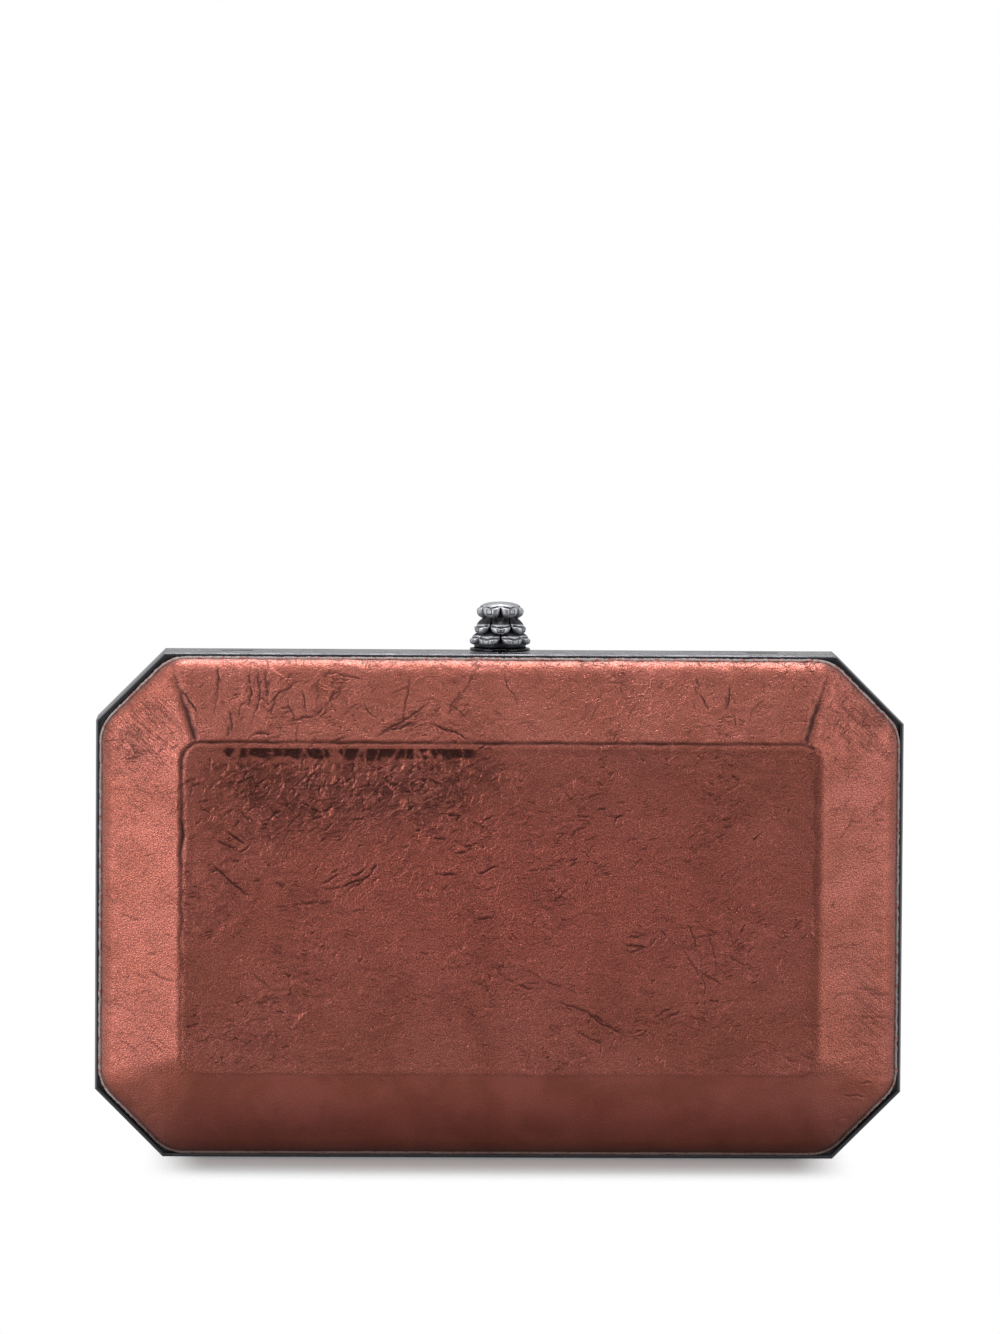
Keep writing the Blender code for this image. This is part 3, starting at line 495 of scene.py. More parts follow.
def raw_edge_material():
    """The leather's cut edge: pale, dry fibre with bits of film, and painted shade that darkens it near the
    bottom.
    """
    colours = bpy.context.scene.clutch_leather
    material, tree, shader = new_material("raw_leather_edge")
    place = millimetres(tree)
    grain = placed(tree, grain_group(), {"Place": place, "Scale": 2.2})
    flecks = ramp(tree, noise(tree, place, 0.9, 4.0, 0.7)["Fac"], 0.46, 0.66)
    colour = mixed(tree, flecks, opaque(colours.raw_edge), opaque(colours.copper))
    colour = mixed(tree, times(tree, grain["Speckle"], 0.35), colour, (0.16, 0.12, 0.11, 1.0))
    # Painted shade: darker towards the bottom, where the edge faces down.
    lift = node(tree, "ShaderNodeSeparateXYZ", {0: place}).outputs["Z"]
    colour = mixed(tree, ramp(tree, lift, 4.0, 16.0, 0.8, 0.0), colour, (0.10, 0.05, 0.04, 1.0))
    normal = bumped(tree, grain["Height"], 0.8, 0.00008)
    fill_inputs(tree, shader, {"Base Color": colour, "Roughness": 0.75, "Normal": normal})
    return material


def metal_material(name, colour, roughness, brush, smudge=0.10, hair=0.06, scale=0.12):
    """Plated or plain metal with smudges and hairlines."""
    material, tree, shader = new_material(name)
    sockets = {"Smudge Scale": scale, "Brush": brush, "Roughness": roughness, "Smudge": smudge, "Hair": hair}
    handled = placed(tree, handling_group(), {"Place": millimetres(tree), **sockets})
    bright = tuple(min(1.0, channel * 1.6 + 0.02) for channel in colour)
    shade = mixed(tree, times(tree, handled["Smudges"], 0.25), opaque(colour), opaque(colour, 0.55))
    shade = mixed(tree, times(tree, handled["Hairlines"], 0.30), shade, opaque(bright))
    normal = bumped(tree, handled["Lines"], 0.12, 0.00002)
    sockets = {"Base Color": shade, "Roughness": handled["Roughness"], "Metallic": 1.0, "Normal": normal}
    fill_inputs(tree, shader, sockets)
    return material


def knob_material():
    """Silver, with painted shade where the scales tuck under one another, in their grooves and on the core.
    """
    colours = bpy.context.scene.clutch_metal
    material, tree, shader = new_material("silver_with_painted_shade")
    sockets = {"Smudge Scale": 0.8, "Brush": (3.0, 3.0, 3.0), "Roughness": 0.34, "Smudge": 0.08}
    handled = placed(tree, handling_group(), {"Place": millimetres(tree), **sockets})
    smudged = times(tree, handled["Smudges"], 0.25)
    shade = mixed(tree, smudged, opaque(colours.silver), (0.30, 0.30, 0.33, 1.0))
    # Painted shade: black where the knob's mask marks recesses, grooves and the core.
    shade = mixed(tree, mask_of(tree, "knob_painted_shade"), shade, (0.018, 0.018, 0.022, 1.0))
    normal = bumped(tree, handled["Lines"], 0.06, 0.00003)
    sockets = {"Base Color": shade, "Roughness": handled["Roughness"], "Metallic": 0.84, "Normal": normal}
    fill_inputs(tree, shader, sockets)
    return material


def lining_material():
    """Short-napped suede lining."""
    suede = bpy.context.scene.clutch_lining.suede
    material, tree, shader = new_material("suede_lining")
    place = millimetres(tree)
    grain = placed(tree, grain_group(), {"Place": place, "Scale": 2.6})
    nap = ramp(tree, noise(tree, place, 0.07, 5.0, 0.65)["Fac"], 0.38, 0.64)
    colour = mixed(tree, nap, opaque(suede), opaque(suede, 1.9))
    colour = mixed(tree, times(tree, grain["Speckle"], 0.45), colour, (0.02, 0.015, 0.012, 1.0))
    sockets = {
        "Base Color": colour,
        "Roughness": 0.92,
        "Sheen Weight": 0.35,
        "Sheen Roughness": 0.45,
        "Normal": bumped(tree, grain["Height"], 0.7, 0.0001),
    }
    fill_inputs(tree, shader, sockets)
    return material


def board_material():
    """Moulded board: pressed fibre."""
    board = bpy.context.scene.clutch_lining.board
    material, tree, shader = new_material("moulded_board")
    place = millimetres(tree)
    grain = placed(tree, grain_group(), {"Place": place, "Scale": 0.9})
    fibres = ramp(tree, noise(tree, place, 0.6, 6.0, 0.75)["Fac"], 0.40, 0.62)
    colour = mixed(tree, fibres, opaque(board), opaque(board, 0.6))
    normal = bumped(tree, grain["Height"], 0.5, 0.0001)
    fill_inputs(tree, shader, {"Base Color": colour, "Roughness": 0.88, "Normal": normal})
    return material


def hashed(across, up, seed):
    """A number from 0 to 1 for each lattice point."""
    stirred = across.astype(np.int64) * 374761393 + up.astype(np.int64) * 668265263 + seed * 1274126177
    stirred = (stirred ^ (stirred >> 13)) * 1103515245
    stirred = stirred ^ (stirred >> 16)
    return (stirred & 0xFFFFF) / 0xFFFFF


def swell(across, up, cell, seed):
    """Smooth noise between about -1 and 1, whose bumps are about a cell wide."""
    across = across / cell
    up = up / cell
    left = np.floor(across)
    low = np.floor(up)
    part_x = across - left
    part_y = up - low
    ease_x = part_x**3 * (part_x * (part_x * 6 - 15) + 10)
    ease_y = part_y**3 * (part_y * (part_y * 6 - 15) + 10)

    def slope(step_x, step_y):
        angle = 2 * pi * hashed(left + step_x, low + step_y, seed)
        return np.cos(angle) * (part_x - step_x) + np.sin(angle) * (part_y - step_y)

    bottom = slope(0, 0) + ease_x * (slope(1, 0) - slope(0, 0))
    top = slope(0, 1) + ease_x * (slope(1, 1) - slope(0, 1))
    return 1.5 * (bottom + ease_y * (top - bottom))


def scattered(across, up, seed):
    """Distances to the nearest and the next of points scattered one to a unit square.

    It also returns the way from the nearest, and that point's own chance number.
    """
    left, low = np.floor(across), np.floor(up)
    near = np.full(len(across), 9.0)
    far = near.copy()
    way_x, way_z, pick = np.zeros_like(near), np.zeros_like(near), np.zeros_like(near)
    for step_x in (-1, 0, 1):
        for step_z in (-1, 0, 1):
            cell_x, cell_z = left + step_x, low + step_z
            off_x = across - cell_x - hashed(cell_x, cell_z, seed)
            off_z = up - cell_z - hashed(cell_x, cell_z, seed + 101)
            distance = np.hypot(off_x, off_z)
            closer = distance < near
            far = np.where(closer, near, np.minimum(far, distance))
            near = np.where(closer, distance, near)
            way_x = np.where(closer, off_x, way_x)
            way_z = np.where(closer, off_z, way_z)
            pick = np.where(closer, hashed(cell_x, cell_z, seed + 202), pick)
    return near, far, way_x, way_z, pick


def crumpled(across, up, size, turn, seed):
    """Heights from about -1 to 1 of tilted facets, as in crushed paper, and the lines between them.

    size is the facets' length and width, and turn is the direction of their length in degrees.
    """
    stray_x = 0.35 * size[0] * swell(across, up, size[0] * 1.1, seed)
    stray_z = 0.35 * size[0] * swell(across, up, size[0] * 1.1, seed + 1)
    stray_x += 0.12 * size[1] * swell(across, up, size[1] * 0.5, seed + 2)
    along, aside = turned_to(across + stray_x, up + stray_z, radians(turn))
    near, far, way_x, way_z, pick = scattered(along / size[0], aside / size[1], seed + 3)
    lean = 2 * pi * pick
    height = (way_x * np.cos(lean) + way_z * np.sin(lean)) * 1.6 * eased(far - near, 0.0, 0.22)
    return height, eased(far - near, 0.13, 0.0)


def turned_to(across, up, angle):
    """How far places lie along a direction, and to its left."""
    return across * cos(angle) + up * sin(angle), up * cos(angle) - across * sin(angle)


def eased(values, low, high):
    """0 below low, 1 above high, and smooth between; low may be the larger."""
    share = np.clip((values - low) / (high - low), 0, 1)
    return share * share * (3 - 2 * share)


def bell(values, width):
    """A smooth bump of 1 where the values are 0."""
    return np.exp(-((values / width) ** 2))


def spot(across, up, centre, reach):
    """A soft oval mask of 1 at its centre."""
    distance = ((across - centre[0]) / reach[0]) ** 2 + ((up - centre[1]) / reach[1]) ** 2
    return np.exp(-distance)


def unit(way):
    """A direction of length 1."""
    return way / np.linalg.norm(way)


def corner_arc(before, corner, after, radius, count):
    """Evenly spaced points of the arc that rounds a corner, both ends included."""
    into = unit(before - corner)
    out = unit(after - corner)
    half = acos(float(np.clip(into @ out, -1, 1))) / 2
    centre = corner + unit(into + out) * radius / sin(half)
    start = corner + into * radius / tan(half) - centre
    end = corner + out * radius / tan(half) - centre
    sweep = atan2(start[0] * end[1] - start[1] * end[0], float(start @ end))
    angle = np.linspace(0, sweep, count)[:, None]
    quarter_on = np.array((-start[1], start[0]))
    return centre + start * np.cos(angle) + quarter_on * np.sin(angle)


def between(start, end, count):
    """Evenly spaced points between two, without either."""
    shares = np.linspace(0, 1, count + 2)[1:-1, None]
    return start + (end - start) * shares


def joined(corners, counts):
    """One loop: four corners' points, and evenly spaced points between them."""
    loop = []
    for index, corner in enumerate(corners):
        following = corners[(index + 1) % 4]
        loop += [corner, between(corner[-1], following[0], counts[index % 2] - 1)]
    return np.concatenate(loop)


def panel_octagon(inset, leg):
    """Corners of the panel's octagon in X and Z, clockwise from the left end of the top edge."""
    across = BODY_WIDTH / 2 - inset
    top = BODY_HEIGHT - inset
    leg = leg - inset * (2 - sqrt(2))
    right = [(across - leg, top), (across, top - leg), (across, inset + leg), (across - leg, inset)]
    left = [(-x, z) for x, z in reversed(right)]
    return np.array([left[-1], *right, *left[:-1]])


def rectangle(inset):
    """Corners of a rectangle inside the rails, clockwise from the top right."""
    across = BODY_WIDTH / 2 - inset
    top = BODY_HEIGHT - inset
    return np.array([(across, top), (across, inset), (-across, inset), (-across, top)])


class PanelGrid:
    """Matching loops of points for a panel, and the grid that fills its table.

    Each column runs from a point of the rounded octagon over the facet to the table's edge, and on to the
    edge of the grid. The columns of a cut corner, between its two rounded ends, all meet the same corner of
    the table.
    """

    def __init__(self, gap):
        given = bpy.context.scene.clutch_leather
        arc = max(4, round(given.corner_round * pi / 4 / gap))
        cut = max(4, 2 * round(given.corner_leg * 0.45 / gap))
        corner = 2 * arc + cut
        zone = corner * gap * 0.45
        inner_inset = given.table_inset + given.table_corner
        wide = round((BODY_WIDTH - 2 * inner_inset - 2 * zone) / gap)
        high = round((BODY_HEIGHT - 2 * inner_inset - 2 * zone) / gap)
        octagon = panel_octagon(PANEL_INSET, given.corner_leg)
        table = rectangle(given.table_inset)
        inner = rectangle(inner_inset)
        steps = np.linspace(zone, 0, corner // 2 + 1)[:, None]
        outer_loop, table_loop, inner_loop = [], [], []
        for index in range(4):
            cut_points = [octagon[(2 * index + step) % 8] for step in range(4)]
            start = corner_arc(*cut_points[:3], given.corner_round, arc + 1)
            end = corner_arc(*cut_points[1:], given.corner_round, arc + 1)
            outer_loop.append(np.concatenate([start, between(start[-1], end[0], cut - 1), end]))
            before, after = table[index - 1], table[(index + 1) % 4]
            table_loop.append(corner_arc(before, table[index], after, given.table_corner, corner + 1))
            point = inner[index]
            into = unit(inner[index - 1] - point)
            out = unit(inner[(index + 1) % 4] - point)
            inner_loop.append(np.concatenate([point + into * steps, point + out * steps[::-1][1:]]))
        self.outer = joined(outer_loop, (high, wide))
        self.table = joined(table_loop, (high, wide))
        self.inner = joined(inner_loop, (high, wide))
        self.columns = len(self.outer)
        self.wide = wide + corner
        self.high = high + corner
        self.lead = corner // 2
        self.given = given

    def ring(self, inset):
        """The loop of points at an inset from the rail's edge."""
        share = (inset - PANEL_INSET) / (self.given.table_inset - PANEL_INSET)
        return self.outer + (self.table - self.outer) * share

    def walk(self):
        """The (column, row) places of the grid's edge, in the order of the inner loop."""
        column, row = self.wide - self.lead, self.high
        legs = ((1, 0, self.lead), (0, -1, self.high), (-1, 0, self.wide), (0, 1, self.high))
        places = []
        for step_x, step_y, count in (*legs, (1, 0, self.wide - self.lead)):
            for _ in range(count):
                places.append((column, row))
                column += step_x
                row += step_y
        return np.array(places)


LEAST_ROUND = 0.4 * MM
ROLL_LENGTH = 2.8 * MM
CREST_LENGTH = 1.2 * MM


def shifted(start, end, offset):
    """A line moved in from the leather's face by an offset."""
    along = (end - start).normalized()
    inwards = Vector((along.y, -along.x)) * offset
    return start + inwards, end + inwards


def crossing(first, second):
    """Where two lines meet."""
    along = first[1] - first[0]
    other = second[1] - second[0]
    apart = second[0] - first[0]
    share = (apart.x * other.y - apart.y * other.x) / (along.x * other.y - along.y * other.x)
    return first[0] + along * share


def panel_profile(offset, gap):
    """(inset, depth) points over a panel, from its seat to the table, at an offset from the leather."""
    given = bpy.context.scene.clutch_leather

    def arc(before, corner, after, radius, count):
        points = corner_arc(np.array(before), np.array(corner), np.array(after), radius, count)
        return [Vector(point) for point in points]

    def line(start, end):
        count = max(1, round((end - start).length / gap))
        return [start.lerp(end, step / count) for step in range(1, count)]

    foot = Vector((PANEL_INSET + offset, SEAT))
    waist = Vector((PANEL_INSET, RAIL_DEPTH))
    shoulder = Vector((PANEL_INSET + given.girdle_lean, RAIL_DEPTH + given.girdle_rise))
    rim = Vector((given.table_inset, HALF_DEPTH))
    centre = Vector((BODY_HEIGHT / 2, HALF_DEPTH))
    girdle = shifted(waist, shoulder, offset)
    facet = shifted(shoulder, rim, offset)
    table = shifted(rim, centre, offset)
    low = crossing(girdle, (foot, foot + Vector((0, PANEL_INSET))))
    bend = crossing(girdle, facet)
    brow = crossing(facet, table)
    roll_round = max(given.girdle_round - offset, gap, LEAST_ROUND)
    roll = arc(low, bend, brow, roll_round, max(4, round(ROLL_LENGTH / gap)))
    crest_round = max(given.table_round - offset, LEAST_ROUND)
    crest = arc(bend, brow, table[1], crest_round, max(3, round(CREST_LENGTH / gap)))
    return [foot, *line(foot, low), low, *line(low, roll[0]), *roll, *line(roll[-1], crest[0]), *crest]


def add_object(name, data):
    """An object in the scene that shows some data."""
    item = bpy.data.objects.new(name, data)
    bpy.context.scene.collection.objects.link(item)
    return item


def surface_mesh(name, points, faces):
    """An object from arrays of points and four-cornered faces."""
    mesh = bpy.data.meshes.new(name)
    mesh.vertices.add(len(points))
    mesh.vertices.foreach_set("co", points.astype(np.float32).ravel())
    mesh.loops.add(faces.size)
    mesh.loops.foreach_set("vertex_index", faces.astype(np.int32).ravel())
    mesh.polygons.add(len(faces))
    mesh.polygons.foreach_set("loop_start", np.arange(0, faces.size, 4, dtype=np.int32))
    mesh.update(calc_edges=True)
    mesh.validate()
    mesh.shade_smooth()
    return add_object(name, mesh)


def tube_faces(rows, sides, closed=False):
    """Faces that join rows of points, each row a ring of the same number of points."""
    row = np.arange(rows if closed else rows - 1)[:, None]
    here, after = row * sides, (row + 1) % rows * sides
    corner = np.arange(sides)[None, :]
    beyond = (corner + 1) % sides
    return np.stack([here + corner, here + beyond, after + beyond, after + corner], axis=2).reshape(-1, 4)


def rod_section(wide, deep, sides):
    """(across, deep) offsets of a rod's oval section."""
    turns = [2 * pi * step / sides for step in range(sides)]
    return [(wide * cos(turn), deep * sin(turn)) for turn in turns]


def panel_surface(name, side, offset, gap):
    """One smooth face of a panel. It returns the object and its points."""
    grid = PanelGrid(gap)
    rings = [np.insert(grid.ring(point.x), 1, side * point.y, axis=1) for point in panel_profile(offset, gap)]
    last = rings[-1]
    inner = np.insert(grid.inner, 1, last[0, 1], axis=1)
    count = max(2, round(grid.given.table_corner / gap))
    rings.extend(last + (inner - last) * step / count for step in range(1, count + 1))
    points = np.concatenate(rings)
    table = np.full((grid.wide + 1, grid.high + 1), -1, dtype=np.int64)
    edge = grid.walk()
    table[edge[:, 0], edge[:, 1]] = len(points) - grid.columns + np.arange(grid.columns)
    x_of = np.zeros(grid.wide + 1)
    z_of = np.zeros(grid.high + 1)
    x_of[edge[:, 0]] = grid.inner[:, 0]
    z_of[edge[:, 1]] = grid.inner[:, 1]
    inside = np.argwhere(table < 0)
    table[inside[:, 0], inside[:, 1]] = len(points) + np.arange(len(inside))
    depth = np.full(len(inside), last[0, 1])
    filling = np.stack([x_of[inside[:, 0]], depth, z_of[inside[:, 1]]], axis=1)
    points = np.concatenate([points, filling])
    corners = [table[:-1, :-1], table[:-1, 1:], table[1:, 1:], table[1:, :-1]]
    squares = np.stack([corner.ravel() for corner in corners], axis=1)
    item = surface_mesh(name, points, np.concatenate([tube_faces(len(rings), grid.columns), squares]))
    outwards = side if offset == 0 else -side
    if normals_of(item)[:, 1].sum() * outwards < 0:
        item.data.flip_normals()
    return item, points


def normals_of(item):
    """Each point's normal."""
    values = np.zeros(len(item.data.vertices) * 3, dtype=np.float32)
    item.data.vertex_normals.foreach_get("vector", values)
    return values.reshape(-1, 3)


def push_out(item, points, heights):
    """Move each point out along its normal by a height."""
    moved = points + normals_of(item) * heights[:, None]
    item.data.vertices.foreach_set("co", moved.astype(np.float32).ravel())
    item.data.update()


def store(item, name, values):
    """Keep a mask on the mesh, for the material."""
    layer = item.data.attributes.new(name, "FLOAT", "POINT")
    layer.data.foreach_set("value", values.astype(np.float32))


# Bunches of creases on a panel: middle, spread, direction, swing, length, count and share of the full depth.
# Places and lengths are in millimetres, from the panel's middle. Directions and swings are in degrees.
CREASE_BUNCHES = (
    ((-56.0, 27.5), (11.0, 7.0), 48, 26, 5.0, 34, 0.90),
    ((-38.0, 30.0), (12.0, 6.0), 30, 30, 5.0, 34, 0.95),
    ((-13.0, 29.0), (9.0, 6.5), 18, 24, 4.5, 22, 0.90),
    ((20.0, -23.8), (0.3, 0.3), -25, 1, 18.0, 1, 0.8),
    ((25.0, -27.5), (0.3, 0.3), -27, 1, 13.0, 1, 0.8),
    ((21.0, -30.0), (0.3, 0.3), -29, 1, 10.0, 1, 0.7),
    ((6.0, -17.0), (4.0, 1.5), -16, 6, 6.0, 8, 0.7),
    ((33.0, -29.5), (2.0, 1.2), 5, 30, 3.0, 8, 0.6),
    ((42.0, -25.5), (2.0, 1.0), 31, 5, 7.0, 4, 0.75),
    ((45.5, -12.0), (0.4, 0.4), -54, 3, 10.0, 1, 0.6),
    ((48.5, -18.0), (0.3, 0.3), -80, 3, 7.0, 1, 0.6),
    ((49.5, -9.0), (0.3, 0.3), -72, 3, 13.0, 1, 0.55),
    ((55.0, -7.0), (0.5, 0.5), -60, 5, 10.0, 1, 0.5),
    ((32.0, -8.8), (0.3, 0.3), 2, 2, 6.5, 1, 0.75),
    ((36.0, -7.5), (0.3, 0.3), 45, 2, 3.5, 1, 0.7),
    ((-12.0, 8.6), (0.3, 0.3), 1, 2, 7.0, 1, 0.95),
    ((-3.0, 9.6), (0.3, 0.3), 16, 2, 7.5, 1, 0.95),
    ((-7.0, 16.0), (0.3, 0.3), 3, 3, 5.5, 1, 0.9),
    ((-8.5, 13.5), (0.3, 0.3), 12, 3, 6.0, 1, 0.9),
    ((-17.0, 17.0), (2.5, 1.5), 22, 8, 4.5, 5, 0.85),
    ((-3.5, -2.1), (0.3, 0.3), 8, 2, 5.5, 1, 0.85),
    ((-45.0, 24.0), (0.2, 0.2), -28, 2, 8.0, 1, 1.1),
    ((-40.5, 23.8), (0.2, 0.2), 40, 2, 4.5, 1, 1.0),
    ((-62.0, 16.5), (0.2, 0.2), -32, 2, 7.0, 1, 1.05),
    ((-56.0, 21.0), (3.0, 2.0), -42, 12, 4.5, 12, 0.8),
    ((-34.0, 6.3), (0.2, 0.2), 26, 2, 8.5, 1, 1.0),
    ((-33.5, 8.6), (0.2, 0.2), 29, 2, 5.5, 1, 1.0),
    ((-29.8, 9.9), (0.2, 0.2), 40, 2, 3.0, 1, 1.2),
    ((-33.5, 21.2), (0.2, 0.2), 10, 2, 3.5, 1, 1.0),
    ((27.5, 21.5), (0.2, 0.2), 48, 2, 4.0, 1, 1.0),
    ((20.0, 20.5), (2.6, 2.0), -10, 14, 3.6, 8, 0.85),
    ((17.0, 11.2), (1.5, 1.0), 28, 6, 3.4, 4, 0.85),
    ((-63.5, 7.0), (0.6, 0.6), -40, 2, 15.0, 1, 1.0),
    ((-63.8, 15.5), (0.5, 0.5), -33, 2, 7.0, 1, 0.9),
    ((-69.5, 23.0), (0.5, 0.5), -38, 2, 5.5, 1, 0.8),
    ((-56.0, 5.8), (5.0, 0.8), -5, 8, 4.5, 5, 0.7),
    ((-41.0, 2.0), (6.0, 2.5), -3, 10, 6.0, 12, 0.6),
    ((-33.0, 7.0), (4.5, 3.0), 36, 8, 6.0, 7, 0.8),
    ((-54.0, -12.0), (3.0, 2.5), -36, 6, 7.0, 4, 0.6),
    ((22.0, 19.0), (8.0, 5.0), 24, 12, 4.5, 15, 0.65),
    ((6.0, 12.0), (12.0, 6.0), 10, 22, 4.0, 16, 0.5),
    ((52.0, 18.0), (5.0, 2.0), 26, 8, 3.5, 9, 0.7),
    ((53.0, 9.0), (4.0, 4.5), 50, 14, 4.0, 15, 0.5),
    ((33.0, -6.0), (2.5, 1.5), 6, 22, 6.0, 3, 0.8),
    ((48.0, -11.0), (4.0, 5.0), -48, 20, 6.5, 6, 0.7),
    ((-4.0, -14.0), (13.0, 8.0), -20, 26, 5.0, 26, 0.45),
    ((-30.0, -19.0), (16.0, 8.0), -14, 24, 5.5, 22, 0.40),
    ((24.0, -24.0), (16.0, 7.0), 14, 26, 5.0, 14, 0.35),
    ((-73.1, 48.5), (0.2, 0.2), -53, 2, 9.5, 1, 1.0),
    ((-67.0, 50.0), (1.2, 3.5), 84, 8, 7.0, 3, 0.9),
    ((-60.0, 50.5), (1.0, 3.0), 74, 8, 6.0, 3, 0.8),
    ((-51.0, 46.0), (3.5, 6.0), 86, 16, 6.5, 15, 0.75),
    ((-45.0, 42.5), (9.0, 2.2), 22, 8, 7.5, 8, 0.75),
    ((-33.0, 47.0), (5.0, 3.0), 34, 14, 7.0, 6, 0.55),
    ((-20.0, 50.0), (10.0, 3.5), 80, 24, 4.0, 12, 0.45),
    ((8.0, 48.0), (14.0, 4.5), 38, 34, 5.5, 16, 0.45),
    ((32.0, 46.0), (9.0, 5.0), 44, 18, 6.5, 13, 0.55),
    ((47.0, 51.0), (1.8, 2.6), -70, 12, 4.5, 6, 0.8),
    ((53.5, 49.5), (1.2, 2.6), 84, 10, 4.5, 5, 0.9),
    ((62.0, 46.0), (5.0, 4.5), 60, 24, 4.0, 12, 0.45),
    ((83.5, 46.0), (3.0, 4.5), 44, 10, 4.0, 14, 0.55),
    ((84.5, 22.0), (4.5, 9.0), 34, 18, 4.5, 22, 0.45),
    ((86.0, -28.0), (4.5, 10.0), 4, 12, 6.0, 30, 0.5),
    ((-84.0, 44.0), (6.0, 6.0), -40, 6, 6.0, 28, 0.45),
    ((-84.0, -20.0), (5.0, 9.0), -34, 12, 7.5, 17, 0.55),
    ((-83.0, 10.0), (5.0, 12.0), 64, 30, 4.5, 10, 0.35),
    ((-22.7, 44.9), (0.2, 0.2), 32, 1, 18.0, 1, 0.88),
    ((-22.0, 48.4), (0.2, 0.2), 80, 1, 17.0, 1, 0.81),
    ((-10.7, 48.3), (0.2, 0.2), 62, 1, 9.0, 1, 0.74),
    ((-30.6, 46.1), (0.2, 0.2), -47, 1, 7.0, 1, 0.74),
    ((-37.5, 54.3), (0.2, 0.2), -10, 1, 13.0, 1, 0.68),
    ((-40.6, 48.9), (0.2, 0.2), 51, 1, 13.0, 1, 0.88),
    ((-50.7, 50.8), (0.2, 0.2), 35, 1, 14.0, 1, 0.81),
    ((-57.4, 50.0), (0.2, 0.2), 87, 1, 15.0, 1, 0.94),
    ((-58.9, 52.0), (0.2, 0.2), -82, 1, 7.5, 1, 0.88),
    ((-55.2, 52.2), (0.2, 0.2), -87, 1, 9.0, 1, 0.88),
    ((-66.3, 54.5), (0.2, 0.2), -77, 1, 5.0, 1, 0.94),
    ((-12.0, 41.6), (0.2, 0.2), -20, 1, 13.0, 1, 0.95),
    ((-9.0, 50.4), (0.2, 0.2), 57, 1, 15.0, 1, 0.61),
    ((2.2, 51.2), (0.2, 0.2), -58, 1, 9.0, 1, 0.68),
    ((-24.2, 42.2), (0.2, 0.2), 16, 1, 13.0, 1, 0.94),
    ((-10.5, 46.8), (0.2, 0.2), -32, 1, 7.5, 1, 0.68),
    ((-40.6, 52.0), (2.4, 2.4), 45, 40, 4.5, 14, 0.60),
    ((-56.5, 50.5), (2.0, 3.6), 86, 22, 4.0, 12, 0.60),
    ((-22.0, 42.5), (5.0, 1.6), 28, 14, 6.5, 10, 0.60),
    ((-46.0, 22.0), (16.0, 5.0), 34, 12, 3.6, 22, 0.80),
    ((-22.0, 25.0), (12.0, 6.0), 22, 20, 3.6, 22, 0.75),
)


def press_creases(across, up, seed, mirror):
    """Heights, in shares of a crease's depth, and the painted shade in the grooves of all the creases on a
    panel.
    """
    chance = np.random.default_rng(seed)
    height = np.zeros(len(across))
    dark = np.zeros(len(across))
    for middle, spread, direction, swing, length, count, share in CREASE_BUNCHES:
        for _ in range(count):
            x = (middle[0] + spread[0] * chance.normal()) * mirror
            z = middle[1] + spread[1] * chance.normal()
            angle = radians(direction + swing * chance.normal()) * mirror
            half = length * (1.0 if count == 1 else chance.uniform(0.40, 1.25)) / 2
            bow = chance.normal() * 0.12
            lane = chance.uniform(0, 900)
            depth = share * (1.0 if count == 1 else chance.uniform(0.45, 1.15))
            near = np.nonzero((abs(across - x) < half + 2) & (abs(up - z) < half + 2))[0]
            if not len(near):
                continue
            along, aside = turned_to(across[near] - x, up[near] - z, angle)
            aside = aside - bow * (along**2 / half - half / 3)
            aside = aside + 0.45 * swell(along, along * 0 + lane, 2.6, seed)
            aside = aside + 0.14 * swell(along, along * 0 - lane, 0.8, seed)
            fade = eased(abs(along), half, half * 0.40)
            width = (0.17 + 0.12 * depth) * (0.55 + 0.45 * fade)
            groove = bell(aside, width) * fade
            lips = bell(abs(aside) - 2.1 * width, 1.1 * width) * fade
            height[near] += depth * (0.40 * lips - groove)
            dark[near] = np.maximum(dark[near], depth * groove)
    return height, dark


class LeatherFace:
    """A panel's points in millimetres, with the height that is pressed into them and the painted shade of
    their grooves.

    across and up are measured from the panel's middle, faced is across as seen from outside, past is the way
    out from the table's edge, and over_rail is the height over the rail's face. Masks say what lies on the
    table, and what is free of the rail.
    """

    def __init__(self, points, side):
        given = bpy.context.scene.clutch_leather
        self.front = side < 0
        self.seed = 11 if self.front else 29
        self.mirror = 1 if self.front else -1
        self.across = points[:, 0] / MM
        self.up = (points[:, 2] - BODY_HEIGHT / 2) / MM
        self.faced = self.across * self.mirror
        self.over_rail = (abs(points[:, 1]) - RAIL_DEPTH) / MM
        self.table_x = (BODY_WIDTH / 2 - given.table_inset) / MM
        self.table_z = (BODY_HEIGHT / 2 - given.table_inset) / MM
        past_x = abs(self.across) - self.table_x
        past_z = abs(self.up) - self.table_z
        bend = given.table_corner / MM * 0.9
        past = np.hypot(np.maximum(past_x + bend, 0), np.maximum(past_z + bend, 0)) - bend
        self.past = past + np.minimum(np.maximum(past_x + bend, past_z + bend), 0)
        self.over_edge = past_z > past_x
        self.on_table = eased(self.past, 0.0, -1.2)
        self.free = eased(self.over_rail, 0.2, 1.6)
        self.height = 0.08 * self.swell(17.0) + 0.03 * self.swell(6.5, 1)
        # dark is the painted shade in grooves, creases, folds and the seam.
        self.dark = np.zeros(len(points))

    def swell(self, cell, step=0):
        """Smooth noise over the panel, with bumps about a cell wide; step picks its pattern."""
        return swell(self.across, self.up, cell, self.seed + step)

    def crumpled(self, size, turn, step):
        """Tilted facets over the panel, and the lines between them."""
        return crumpled(self.across, self.up, size, turn * self.mirror, self.seed + step)

    def spot(self, x, z, reach_x, reach_z):
        """A soft oval mask, placed as seen from outside."""
        return spot(self.faced, self.up, (x, z), (reach_x, reach_z))

    def add_painted_shade(self, mask):
        """Add a mask to the painted shade."""
        self.dark = np.maximum(self.dark, mask)


